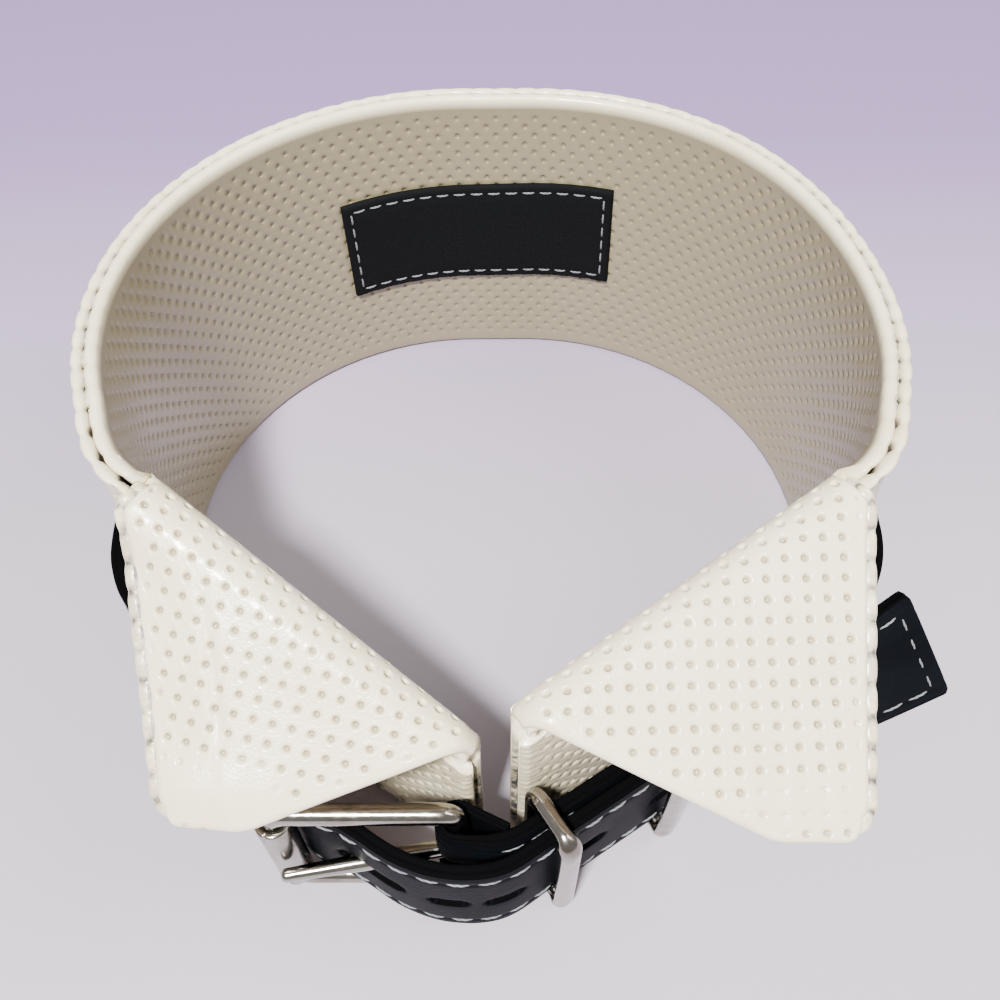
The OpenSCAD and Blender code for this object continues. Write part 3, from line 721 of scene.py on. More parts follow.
def on_wing(side, x, across, depth):
    """Point on a wing: x down its fold, across out from the fold (below 0 round the roll), depth in."""
    lean = math.atan2(fold_start_z - fold_end_z[side], fold_run)
    turn = wing_turn[side]
    round_turn = np.clip(-across, 0, None) / roll_radius
    reach = roll_radius - depth
    flat_y = -reach * np.cos(round_turn)
    flat_z = np.clip(across, 0, None) - reach * np.sin(round_turn)
    y = flat_y * math.cos(turn) + flat_z * math.sin(turn)
    z = flat_z * math.cos(turn) - flat_y * math.sin(turn)
    level = x * math.cos(lean) + z * math.sin(lean)
    rise = z * math.cos(lean) - x * math.sin(lean)
    start = front_start + fold_run * front_dir + roll_radius * front_normal
    plan = start - level[..., None] * front_dir + y[..., None] * front_normal
    points = np.concatenate([plan, (fold_start_z + rise)[..., None]], axis=-1)
    return points * (-1, 1, 1) if side == "left" else points


def wing_edge(lap, needle):
    """Inset and depth from the facing's turned lip, down into the groove, round the gathered bead."""
    lap = lap[:, None]
    needle = needle[:, None]
    lip = bead_lap * lap
    lip_inset = lip + facing_roll * (1 - np.cos(lip_turn))
    lip_depth = facing_roll * (1 - np.sin(lip_turn)) + 0 * lip
    bead_size = bead_roll * (1 - (0.02 + 0.20 * lap * needle ** 3))
    bead_middle = mix(band_ply - bead_roll, band_ply - bead_roll - bead_lift, lap)
    bead_inset = bead_roll - bead_size * np.cos(bead_turn)
    bead_depth = bead_middle - bead_size * np.sin(bead_turn)
    groove_inset = lip + facing_roll + groove_width + wing_hole_draw * lap * needle ** 8
    groove_depth = mix(lip_depth[:, -1:], bead_depth[:, :1], 0.6) + groove_sink
    inset = np.concatenate([lip_inset, groove_inset, bead_inset], axis=1)
    return inset, np.concatenate([lip_depth, groove_depth, bead_depth], axis=1)


def wing_sag(side, x, across, from_outer, from_tip, tip_share):
    """Depth below flat: a crease by the outer edge, a raised lump at the point, and shallow waves."""
    crease = crease_depth[side]
    sag = crease * bell(from_outer - crease_at, crease_width) * ease(from_tip, 4, 9)
    sag = sag + crease * crease_slope * np.clip(crease_at - from_outer, 0, None)
    sag = sag + ripple_depth[side] * np.sin(1.1 * x - 0.7 * across) * bell(from_tip, ripple_reach)
    sag = sag - lump_rise[side] * bell(from_tip, lump_reach) * (1 - 0.6 * tip_share)
    sag = sag + wave_depth * np.sin(0.23 * x + 0.6) * np.sin(0.31 * across + 0.4)
    return sag * ease(across, 0.5, 6.0)


def wing(side):
    """One wing as a closed sheet in its fold's own frame, its needle holes, and its cut size and area."""
    lean = math.atan2(fold_start_z - fold_end_z[side], fold_run)
    length = math.hypot(fold_run, fold_start_z - fold_end_z[side])
    roll_back = (wing_turn[side] + tuck_turn) * roll_radius
    heel_at = np.array([heel_radius, 0.0])
    far_at = np.array([length - far_radius, -far_drop[side]])
    tip_at = outer_tip[side] + tip_shift
    front_tip = outer_tip[side] + tip_step + blunt_shift
    outer_turn = tangent_turn(heel_at, heel_radius, tip_at, tip_round, 1)
    blunt_turn = tangent_turn(tip_at, tip_round, front_tip, blunt_radius, 1)
    front_edge_turn = tangent_turn(front_tip, blunt_radius, far_at, far_radius, 1)
    line, turns = arc_line([
        (np.array([0.0, -roll_back]), 0, math.pi, math.pi),
        (heel_at, heel_radius, math.pi, outer_turn),
        (tip_at, tip_round, outer_turn, blunt_turn),
        (front_tip, blunt_radius, blunt_turn, front_edge_turn),
        (far_at, far_radius, front_edge_turn, 0.0),
        (np.array([length, -roll_back]), 0, 0.0, 0.0),
    ])
    steps = lengths_along(line)
    edge_at = np.linspace(0, steps[-1], round(steps[-1] / wing_step))
    edge = follow(edge_at, steps, line)
    edge_turn = np.interp(edge_at, steps, turns)
    outward = heading(edge_turn)
    cut = np.ptp(edge, axis=0)
    following = np.roll(edge, -1, axis=0)
    cut_area = abs(np.sum(edge[:, 0] * following[:, 1] - following[:, 0] * edge[:, 1])) / 2
    # The bead stands out past the lip along the outer side, from the fold to the point
    lap = ease(edge[:, 1], *lap_from)
    lap = lap * ease(edge_turn, *(mix(outer_turn, blunt_turn, share) for share in lap_until))
    needle = needle_at(edge_at)
    edge_inset, edge_depth = wing_edge(lap, needle)
    base_x = np.linspace(base_inset, length - base_inset, len(edge))
    base = np.stack([base_x, np.full(len(edge), -roll_back)], axis=-1)[:, None]
    ring_edge = edge[:, None] - outward[:, None] * edge_inset[..., None]
    top = mix(base, ring_edge[:, :1], np.linspace(0, 1, wing_rows)[None, :, None])[:, :-1]
    low = mix(ring_edge[:, -1:], base, np.linspace(0, 1, wing_under_rows)[None, :, None])[:, 1:]
    place = np.concatenate([top, ring_edge, low], axis=1)
    x, across = place[..., 0], place[..., 1]
    # Distances from the outer edge, the front edge and the point set where the embossing fades out
    outer_normal = heading(outer_turn)
    front_edge_normal = heading(front_edge_turn)
    from_outer = (heel_at + heel_radius * outer_normal - place) @ outer_normal
    from_front_edge = (far_at + far_radius * front_edge_normal - place) @ front_edge_normal
    tip_share = np.clip((place - tip_at) @ tip_step / (tip_step @ tip_step), 0, 1)
    from_tip = np.linalg.norm(place - tip_at - tip_share[..., None] * tip_step, axis=-1)
    emboss = wing_press * ease(from_outer, *press_outer) * ease(from_front_edge, *press_front_edge)
    emboss = emboss * ease(from_tip, smooth_tip[side], smooth_tip[side] + press_tip)
    emboss = emboss * ease(x, *press_heel) * ease(length - x, *press_far)
    past_roll = across + wing_turn[side] * roll_radius
    sheet_x = front_lead + fold_run - x * math.cos(lean) - past_roll * math.sin(lean)
    sheet_z = fold_start_z - x * math.sin(lean) + past_roll * math.cos(lean)
    face = np.zeros(place.shape[1])
    face[: top.shape[1]] = 1
    # The underside is plain beyond the bead, and thins to a tucked edge where the roll meets the lining
    behind_bead = ease(np.linspace(0, 1, wing_under_rows)[1:], 0.0, 0.12)
    low_depth = mix(edge_depth[:, -1:], band_ply, behind_bead)
    low_depth = mix(low_depth, tuck_ply, ease(low[..., 1], -tuck_from * roll_back, -roll_back))
    depth = np.concatenate([np.zeros(top.shape[:2]), edge_depth, low_depth], axis=1)
    depth = depth + face * emboss * dimple(sheet_x, sheet_z)
    depth = depth + wing_sag(side, x, across, from_outer, from_tip, tip_share)
    # The fold's front end is worn round: it drops away over its last few millimetres
    fold_drop = np.clip((x - length + fold_worn_length) / fold_worn_length, 0, 1) ** 2
    depth = depth + fold_worn_depth * fold_drop * ease(across, -0.95 * roll_back, -0.4 * roll_back)
    dirt = np.zeros(edge_inset.shape)
    dirt[:, groove_rows] = (0.35 + 0.65 * needle[:, None] ** 4) * (0.25 + 0.75 * lap[:, None])
    seam = np.concatenate([np.zeros(top.shape[:2]), dirt, np.zeros(low.shape[:2])], axis=1)
    pressed = np.where(face > 0, emboss, emboss * under_press)
    marks = {"sheet": np.stack([sheet_x, sheet_z, pressed], axis=-1).reshape(-1, 3), "seam": seam.ravel()}
    points = on_wing(side, x, across, depth).reshape(-1, 3)
    faces = ring_faces(*x.shape).tolist() + end_caps(*x.shape)
    made = make_piece(f"{side}_wing_leather", points, faces, cream_leather, marks)
    sewn = edge_at[lap > 0.9]
    holes = stitch_pitch * np.arange(math.ceil(sewn[0] / stitch_pitch), int(sewn[-1] / stitch_pitch) + 1)
    hole_out = heading(np.interp(holes, steps, turns))
    hole_at = (follow(holes, steps, line) - hole_out * (bead_lap + wing_hole_draw)).T
    hole_points = on_wing(side, *hole_at, np.full(len(holes), wing_hole_depth))
    hole_face = on_wing(side, *hole_at, np.zeros(len(holes)))
    return made, hole_points, hole_face - hole_points, cut, cut_area


# The sheet runs on from the band over the fold; each wing's leather and seam are made in place
for side, body in wing_body.items():
    leather, hole_points, hole_up, cut, cut_area = wing(side)
    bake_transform(leather)
    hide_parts(f"{side}_wing_facing", f"{side}_wing_core", f"{side}_wing_underside")
    seam = sew(
        f"{side}_wing_stitches", hole_points[:-1], hole_points[1:], hole_up[:-1],
        thread_radius, cream_thread,
    )
    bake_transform(seam)
    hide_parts(f"{side}_wing_thread")

# Label: a patch of black woven cloth, lightly padded and left bare, sewn to the lining at the back.
# A border of pale stitching pulls its edge down; it is set a little out of level.
label_length = 50.0
label_height = 20.5
label_ply = 1.2
label_x = -3.5
label_z = 28.5
label_tilt = math.radians(1.3)
label_inset = 1.5
label_cells = 0.5
label_back = 0.12
back_middle = len(band_line) // 2
back_part = slice(back_middle - 200, back_middle + 200)
label_middle = np.interp(-label_x, -band_line[back_part, 0], band_steps[back_part])


def on_label(a, b, out):
    """Point on the label: a along it towards the right front, b up it, out towards the neck."""
    along = label_middle - a * math.cos(label_tilt) + b * math.sin(label_tilt)
    height = label_z + b * math.cos(label_tilt) + a * math.sin(label_tilt)
    return on_band(along, -out, height)


label_a = np.linspace(-label_length / 2, label_length / 2, int(label_length / label_cells) + 1)
label_b = np.linspace(-label_height / 2, label_height / 2, int(label_height / label_cells) + 1)
grid_a, grid_b = np.meshgrid(label_a, label_b, indexing="ij")
edge_away = np.minimum(label_length / 2 - np.abs(grid_a), label_height / 2 - np.abs(grid_b))
# The cloth is padded in the middle, drawn down by the stitching, and thin and frayed at its cut edge
thread_pull = 0.22 * bell(edge_away - label_inset, 0.7)
padding = 0.12 * ease(edge_away, 2.0, 6.0)
cloth_out = label_ply * (0.62 + 0.38 * ease(edge_away, 0, 0.9)) - thread_pull + padding
fray = 0.10 * np.sin(9.1 * grid_a + 3.0 * np.sin(2.3 * grid_b)) * np.sin(8.3 * grid_b + 1.7 * grid_a)
inward = (edge_away < 0.01) * fray
face_points = on_label(grid_a + inward * np.sign(grid_a), grid_b + inward * np.sign(grid_b), cloth_out)
back_points = on_label(grid_a, grid_b, np.full(grid_a.shape, label_back))
count_a, count_b = grid_a.shape
numbers = np.arange(count_a * count_b).reshape(count_a, count_b)
front_quads = np.stack(
    [numbers[:-1, :-1], numbers[1:, :-1], numbers[1:, 1:], numbers[:-1, 1:]], axis=-1
).reshape(-1, 4)
border = np.concatenate([numbers[:, 0], numbers[-1, 1:], numbers[-2::-1, -1], numbers[0, -2:0:-1]])
after = np.roll(border, -1)
rim_quads = np.stack([border, after, after + numbers.size, border + numbers.size], axis=-1)
label_faces = np.concatenate([front_quads, front_quads + numbers.size, rim_quads]).tolist()
label_points = np.concatenate([face_points.reshape(-1, 3), back_points.reshape(-1, 3)])
weave_at = np.stack([grid_a, grid_b, 0 * grid_a], axis=-1).reshape(-1, 3)

label_cloth, tree, shader = new_material("label_cloth")
cloth_part = split_vector(tree, mark_value(tree, "cloth", "Vector"))
yarn_pitch = 0.55
warp, weft = (calc(tree, "SINE", times(tree, cloth_part[k], full_turn / yarn_pitch)) for k in (0, 1))
weave = times(tree, warp, weft)
fibre = place_group(tree, spun_fibre, Hairs=5000.0, Slubs=160.0)
cloth_tone = blend_colour(
    tree, span(tree, weave, -1.0, 1.0), (0.0012, 0.0015, 0.0016), (0.0036, 0.0044, 0.005)
)
cloth_tone = blend_colour(tree, times(tree, fibre["Tone"], 0.3), cloth_tone, (0.006, 0.0066, 0.0075))
cloth_relief = plus(tree, weave, times(tree, fibre["Height"], 0.8))
fill(tree, shader, {
    "Base Color": cloth_tone,
    "Roughness": span(tree, fibre["Tone"], 0.0, 1.0, 0.68, 0.86),
    "Normal": bump_into(tree, cloth_relief, 0.00008, 0.7),
    "Specular IOR Level": 0.1,
})

cloth_marks = {"cloth": np.concatenate([weave_at, weave_at])}
label = make_piece("label_cloth_patch", label_points, label_faces, label_cloth, cloth_marks)
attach(label, "collar_band")
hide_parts("label_patch")

label_stitch_pitch = 3.1
label_stitch_part = (0.10, 0.86)
label_stitch_radius = 0.20
label_seat = label_ply - 0.2
border_a = label_length / 2 - label_inset
border_b = label_height / 2 - label_inset
corners = np.array([(-1, -1), (1, -1), (1, 1), (-1, 1)]) * (border_a, border_b)
starts, ends = [], []
for here, there in zip(corners, np.roll(corners, -1, axis=0)):
    side_count = round(math.dist(here, there) / label_stitch_pitch)
    for k in range(side_count):
        starts.append(mix(here, there, (k + label_stitch_part[0]) / side_count))
        ends.append(mix(here, there, (k + label_stitch_part[1]) / side_count))
starts, ends = np.array(starts).T, np.array(ends).T
start_points = on_label(*starts, label_seat)
label_seam = sew(
    "label_stitches", start_points, on_label(*ends, label_seat),
    on_label(*starts, label_seat + 1) - start_points, label_stitch_radius, grey_thread,
)
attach(label_seam, "collar_band")
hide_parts("label_thread")

# Strap: one length of black leather, two plies pasted and sewn along both sides, its cut edges bare.
# It is turned round the buckle's anchor bar, runs round the outside of the band, comes back through
# the buckle, which its prong holds in one of the punched holes, and ends in the free tail.
strap_width = 20.0
strap_ply = 2.2
fold_ply = 1.4
strap_mid = 13.7
strap_near = 6.8
strap_row_inset = 2.2
layer_gap = 0.3
back_gap = 0.05
roller_gap = 0.4
bend_radius = 9.0
buckle_line = -64.8
bar_span = 23.2
anchor_at = np.array([-5.0, buckle_line])
roller_at = anchor_at - np.array([bar_span, 0.0])
anchor_reach = 1.48
roller_radius = 2.4
near_keeper_at = 0.5
far_keeper_at = 18.5
tail_starts = far_keeper_at + 6.0
tail_length = 37.0
tail_rise = 7.5
tail_lean = math.radians(31)
tail_heading = math.radians(24)
strap_step = 0.5


def front_at(along, out):
    """Place in the plan beside the band's right front: along it from its point, and out from it."""
    return front_start + along * front_dir + out * front_normal


strap_far = strap_near + strap_ply
billet_out = strap_far + layer_gap + strap_ply / 2
bend_meet_y = buckle_line - anchor_reach - strap_ply / 2
strap_line = front_at(0, strap_near + strap_ply / 2)
bend_meet = strap_line + (bend_meet_y - strap_line[1]) / front_dir[1] * front_dir
bend_centre = bend_meet + bend_radius * math.tan(front_angle / 2) * front_dir - bend_radius * front_normal
corner_reach = corner_radius + strap_near + strap_ply / 2
back_reach = back_radius + band_ply + back_gap + strap_ply / 2
fold_tail_at = np.array([bend_meet[0], buckle_line - anchor_reach + fold_ply / 2])
fold_reach = anchor_reach + fold_ply / 2
fold_turn = tangent_turn(fold_tail_at, 0.0, anchor_at, fold_reach) % full_turn
side_turn = tangent_turn(corner_centre, corner_reach, back_centre, back_reach)
billet_turn = math.pi - side_turn
left_corner = corner_centre * mirror_plan
left_back = back_centre * mirror_plan
strap_plan, _ = arc_line([
    (fold_tail_at, 0.0, fold_turn, fold_turn),
    (anchor_at, fold_reach, fold_turn, 1.5 * math.pi),
    (bend_centre, bend_radius, 1.5 * math.pi, full_turn + front_turn),
    (corner_centre, corner_reach, full_turn + front_turn, full_turn + side_turn),
    (back_centre, back_reach, full_turn + side_turn, 2.5 * math.pi),
    (left_back, back_reach, 2.5 * math.pi, full_turn + billet_turn - 0.02),
])
loop_crest = anchor_at + fold_reach * heading(math.pi)
loop_number = np.linalg.norm(strap_plan - loop_crest, axis=1).argmin()

# From the left side on, the strap follows guide points through the buckle, past the keepers, to the tail
roller_turn = math.radians(53)
bulge_side = 1.0
bulge_out = 3.75
rejoin_step = np.array([0.8, 0.5])
under_roller = roller_at + (roller_radius + roller_gap + strap_ply / 2) * heading(roller_turn)
bulge_at = np.array([anchor_at[0] - bulge_side, bend_meet_y - bulge_out])
rejoin_at = np.array([bend_meet[0] - rejoin_step[0], bulge_at[1] + rejoin_step[1]])
window_shares = np.array([(0.35, 0.38), (0.68, 0.8)])
leave_turn = tangent_turn(left_corner, corner_reach, under_roller, 0.05) % full_turn
leave_at = left_corner + corner_reach * heading(leave_turn)
tail_from = front_at(tail_starts, billet_out)
guide_steps = 14


def tail_guide(share):
    """Guide point on the tail, which climbs and leans in towards the band."""
    place = tail_from + share * tail_length * heading(tail_heading)
    return [*place, strap_mid + tail_rise * share ** 2, tail_lean * share]


level_guides = [left_back + back_reach * heading(billet_turn)]
level_guides += [
    left_corner + corner_reach * heading(mix(billet_turn, leave_turn, k / 2)) for k in range(3)
]
level_guides += [mix(leave_at, under_roller, 0.5), under_roller]
level_guides += [mix(under_roller, bulge_at, share) for share in window_shares]
level_guides += [bulge_at, rejoin_at]
level_guides += [front_at(tail_starts * k / 3, billet_out) for k in range(4)]
guides = [[*place, strap_mid, 0.0] for place in level_guides]
guides = np.array(guides + [tail_guide(k / 4) for k in range(1, 5)])


def smooth_line(places, steps):
    """Points of a smooth curve through guide points."""
    padded = np.concatenate([places[:1], places, places[-1:]])
    t = (np.arange(steps) / steps)[:, None]
    pieces = []
    for a, b, c, d in zip(padded, padded[1:], padded[2:], padded[3:]):
        bend = (2 * a - 5 * b + 4 * c - d) * t ** 2 + (3 * b - a - 3 * c + d) * t ** 3
        pieces.append(0.5 * (2 * b + (c - a) * t + bend))
    return np.concatenate(pieces + [places[-1:]])


first_part = np.column_stack([strap_plan, np.full(len(strap_plan), strap_mid), np.zeros(len(strap_plan))])
strap_path = np.concatenate([first_part, smooth_line(guides, guide_steps)])
path_steps = lengths_along(strap_path[:, :3])
loop_middle = path_steps[loop_number]
strap_length = path_steps[-1]
strap_along = np.linspace(0, strap_length, round(strap_length / strap_step) + 1)
stations = follow(strap_along, path_steps, strap_path)
station_step = np.gradient(stations[:, :3], axis=0)
station_run = np.unwrap(np.arctan2(station_step[:, 1], station_step[:, 0]))
station_climb = np.arctan2(station_step[:, 2], np.hypot(station_step[:, 0], station_step[:, 1]))


def on_strap(along, out, up):
    """Point on the strap: along it from its folded end, out from its middle, up from its middle."""
    x, y, z, tip, run, climb = (
        np.interp(along, strap_along, values) for values in (*stations.T, station_run, station_climb)
    )
    across = out * np.cos(tip) - up * np.sin(tip)
    rise = up * np.cos(tip) + out * np.sin(tip)
    return np.stack([
        x + across * np.sin(run) - rise * np.cos(run) * np.sin(climb),
        y - across * np.cos(run) - rise * np.sin(run) * np.sin(climb),
        z + rise * np.cos(climb),
    ], axis=-1)


def along_of(place):
    """Distance along the strap, past its back, of the station nearest to a plan point."""
    away = np.linalg.norm(stations[:, :2] - place, axis=1)
    away = np.where(strap_along < strap_length / 2, np.inf, away)
    return strap_along[away.argmin()]


# Past its turn round the anchor bar the strap swells from the thinned fold to its full size
half_width = strap_width / 2
fold_trim = 0.5
tail_round = 0.9
thicken_after = 1.0
thicken_over = 5.0
thicken_from = path_steps[arc_points - 1] + thicken_after
full_size = ease(strap_along, thicken_from, thicken_from + thicken_over)
from_tail = np.clip(1 - (strap_length - strap_along) / tail_round, 0, 1)
strap_half = mix(fold_ply / 2, strap_ply / 2, full_size)
strap_trim = mix(half_width - fold_trim, half_width, full_size)
strap_trim = strap_trim - tail_round * (1 - np.sqrt(1 - from_tail ** 2))
row_at = half_width - strap_row_inset
hole_rows = np.arange(0, 2.05, 0.33)
plain_rows = np.linspace(2.8, row_at - 1.0, 6)
seam_rows = row_at + np.linspace(-0.6, 0.6, 7)
side_rows = [9.1, 9.6]
half_rows = np.concatenate([hole_rows, plain_rows, seam_rows, side_rows])
strap_rows = np.concatenate([-half_rows[:0:-1], half_rows])
edge_up = np.array([-0.10, 0.0, 0.0, -0.16, 0.0, 0.0, -0.10])
edge_out = np.array([0.86, 0.6, 0.16, 0.0, -0.16, -0.6, -0.86])

# Holes: a slot in the fold for the prong's eye, the prong's own hole, and the plain row; each has a place
# along the strap, a length and a height
prong_wire = 2.4
prong_gap = 0.3
prong_lean = math.asin((roller_radius + prong_wire / 2 + prong_gap) / bar_span)
prong_cross_share = 0.475
prong_cross = anchor_at - bar_span * prong_cross_share * heading(prong_lean)
prong_slot = (12.0, 3.2)
prong_hole = (10.5, 3.2)
plain_hole = (5.0, 2.6)
hole_pitch = 13.0
first_hole_at = near_keeper_at - 8.06
plain_holes = [bulge_at]
plain_holes += [front_at(first_hole_at + hole_pitch * k, billet_out) for k in range(3)]
hole_specs = [(loop_middle, *prong_slot), (along_of(prong_cross), *prong_hole)]
hole_specs += [(along_of(place), *plain_hole) for place in plain_holes]

# Punched ovals: the sheet's cells inside each oval go, and the points round it move on to its edge
face_along, face_up = np.meshgrid(strap_along, strap_rows, indexing="ij")
cell_along = (face_along[:-1, :-1] + face_along[1:, 1:]) / 2
cell_up = (face_up[:-1, :-1] + face_up[1:, 1:]) / 2
punched = np.zeros(cell_along.shape, bool)
near_hole = np.zeros(face_along.shape)
for hole_middle, hole_length, hole_height in hole_specs:
    straight = (hole_length - hole_height) / 2
    cell_off = cell_along - hole_middle
    cell_away = np.hypot(cell_off - np.clip(cell_off, -straight, straight), cell_up)
    inside = cell_away < hole_height / 2
    punched |= inside
    corner_in = np.zeros(face_along.shape, bool)
    corner_out = np.zeros(face_along.shape, bool)
    for da, db in ((0, 0), (1, 0), (0, 1), (1, 1)):
        part = (slice(da, da + len(inside)), slice(db, db + inside.shape[1]))
        corner_in[part] |= inside
        corner_out[part] |= ~inside
    rim = corner_in & corner_out
    off = face_along - hole_middle
    core = np.clip(off, -straight, straight)
    away = np.maximum(np.hypot(off - core, face_up), 1e-6)
    scale = np.where(rim, hole_height / 2 / away, 1.0)
    near_hole = np.maximum(near_hole, np.exp(-np.clip(away - hole_height / 2, 0, None) / 0.5))
    face_along = hole_middle + core + (off - core) * scale
    face_up = face_up * scale

# The face is slightly crowned, rounded at its sides, and pressed in by the stitching and round the holes
face_sink = 0.06
crown_rise = 0.10
side_drop = 0.22
row_press = 0.13
row_press_width = 0.42
hole_press = 0.10
half = strap_half[:, None]
row_dip = row_press * bell(np.abs(face_up) - row_at, row_press_width)
crown = crown_rise * (1 - (face_up / half_width) ** 2) - side_drop * ease(np.abs(face_up), 8.9, 10.0)
face_out = half - face_sink + crown - row_dip - hole_press * near_hole
back_out = -(half - face_sink + 0.5 * crown)
top_up = half_width + np.broadcast_to(edge_up, (len(strap_along), len(edge_up)))
edge_rows_out = half * edge_out
edge_along = np.broadcast_to(strap_along[:, None], top_up.shape)
ring_along = np.concatenate([face_along, edge_along, face_along[:, ::-1], edge_along], axis=1)
ring_out = np.concatenate([face_out, edge_rows_out, back_out[:, ::-1], -edge_rows_out], axis=1)
ring_up = np.concatenate([face_up, top_up, face_up[:, ::-1], -top_up], axis=1)
ring_up = ring_up * (strap_trim[:, None] / half_width)
columns, ring = ring_up.shape
strap_row_count = len(strap_rows)
back_first = strap_row_count + len(edge_up)
keep = np.ones((columns - 1, ring), bool)
keep[:, : strap_row_count - 1] = ~punched
keep[:, back_first: back_first + strap_row_count - 1] = ~punched[:, ::-1]
strap_faces = ring_faces(columns, ring)[keep.ravel()].tolist() + end_caps(columns, ring)


def hole_wall(here, there):
    """Quad through the strap between two neighbouring sheet points (column, row) on a hole's edge."""
    front = [column * ring + row for column, row in (here, there)]
    behind = [column * ring + back_first + strap_row_count - 1 - row for column, row in (there, here)]
    return [int(number) for number in front + behind]


for column, row in np.argwhere(punched[1:] != punched[:-1]) + (1, 0):
    strap_faces.append(hole_wall((column, row), (column, row + 1)))
for column, row in np.argwhere(punched[:, 1:] != punched[:, :-1]) + (0, 1):
    strap_faces.append(hole_wall((column, row), (column + 1, row)))

# Bare leather shows on the cut edges and round the holes, and a little less strongly on the back
raw_edge = np.ones(edge_along.shape)
raw_back = np.full(face_along.shape, 0.75)
raw = np.concatenate([ease(near_hole, 0.45, 0.95), raw_edge, raw_back, raw_edge], axis=1)
strap_mark = np.stack([ring_along, ring_up, 0 * ring_up], axis=-1).reshape(-1, 3)

black_leather, tree, shader = new_material("black_leather")
raw_mark = mark_value(tree, "raw")
grain = place_group(tree, leather_grain, Cells=2600.0, Patches=70.0)
scuff_at = add_node(
    tree, "ShaderNodeVectorMath", {0: mark_value(tree, "strap", "Vector"), 1: (0.12, 1.6, 1.0)},
    operation="MULTIPLY",
).outputs[0]
scuff = span(tree, noise(tree, scuff_at, 1.4, 6.0, 0.7), 0.56, 0.75)
face_tone = blend_colour(tree, grain["Mottle"], (0.0024, 0.0030, 0.0040), (0.0042, 0.0052, 0.0070))
face_tone = blend_colour(tree, times(tree, scuff, 0.5), face_tone, (0.009, 0.0105, 0.013))
face_tone = blend_colour(tree, raw_mark, face_tone, (0.0015, 0.0015, 0.0018))
face_rough = span(tree, grain["Mottle"], 0.0, 1.0, 0.40, 0.52)
fill(tree, shader, {
    "Base Color": face_tone,
    "Roughness": plus(tree, face_rough, times(tree, raw_mark, 0.35)),
    "Normal": bump_into(tree, grain["Height"], 0.00007, 0.45),
    "Specular IOR Level": 0.015,
})

strap_points = on_strap(ring_along, ring_out, ring_up).reshape(-1, 3)
strap_marks = {"raw": raw.ravel(), "strap": strap_mark}
strap = make_piece("strap_leather", strap_points, strap_faces, black_leather, strap_marks)
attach(strap, "collar_band")
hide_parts("strap_body", "billet", "buckle_fold")

# Strap stitching: waxed pale grey thread, a row along each side and one across the tail's end.
# Where the two layers lie on each other between the keepers, the lower layer's rows are left out.
stitch_long = 3.0
stitch_every = 3.75
strap_stitch_radius = 0.19
row_seat = strap_ply / 2 - 0.12
row_from = thicken_from + 4.5
covered_from = thicken_from + 14.0
covered_to = covered_from + 34.0
end_at = strap_length - strap_row_inset
row_starts = np.arange(row_from, end_at - stitch_long, stitch_every)
row_starts = row_starts[(row_starts < covered_from) | (row_starts > covered_to)]
across_ends = np.linspace(-row_at, row_at, 5)
stitch_ends = [(row_starts, row_starts + stitch_long, up, up) for up in (row_at, -row_at)]
stitch_ends += [(end_at, end_at, across_ends[:-1] + 0.3, across_ends[1:] - 0.4)]
starts = np.concatenate([on_strap(at, row_seat, up) for at, _, up, _ in stitch_ends])
ends = np.concatenate([on_strap(at, row_seat, up) for _, at, _, up in stitch_ends])
lifted = np.concatenate([on_strap(at, row_seat + 1, up) for at, _, up, _ in stitch_ends])
strap_seam = sew("strap_stitches", starts, ends, lifted - starts, strap_stitch_radius, grey_thread)
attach(strap_seam, "collar_band")
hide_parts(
    "strap_upper_thread", "strap_lower_thread",
    "billet_upper_thread", "billet_lower_thread", "buckle_fold_thread",
)

# Buckle: a loop of round nickel-plated wire, with a rolled sheet tube on its outer bar for the strap
# to run over, and a wire prong bent round its anchor bar that rests on the roller.
frame_wire = 2.8
frame_height = 23.8
frame_bend = 2.1
running_gap = 0.05
wire_step = 0.35
wire_round = np.linspace(0, full_turn, 25)[:-1]
bend_points = 13

nickel, tree, shader = new_material("nickel_plate")
metal_at = own_place(tree)
tarnish = span(tree, noise(tree, metal_at, 210.0, 5.0, 0.65), 0.50, 0.74)
rub_noise = noise(tree, metal_at, 900.0, 4.0, 0.8)
rub = span(tree, rub_noise, 0.45, 0.7)
fill(tree, shader, {
    "Base Color": blend_colour(tree, tarnish, (0.36, 0.34, 0.305), (0.20, 0.178, 0.145)),
    "Metallic": 1.0,
    "Roughness": plus(tree, span(tree, rub, 0.0, 1.0, 0.13, 0.24), times(tree, tarnish, 0.10)),
    "Normal": bump_into(tree, rub_noise, 0.00002, 0.35),
})


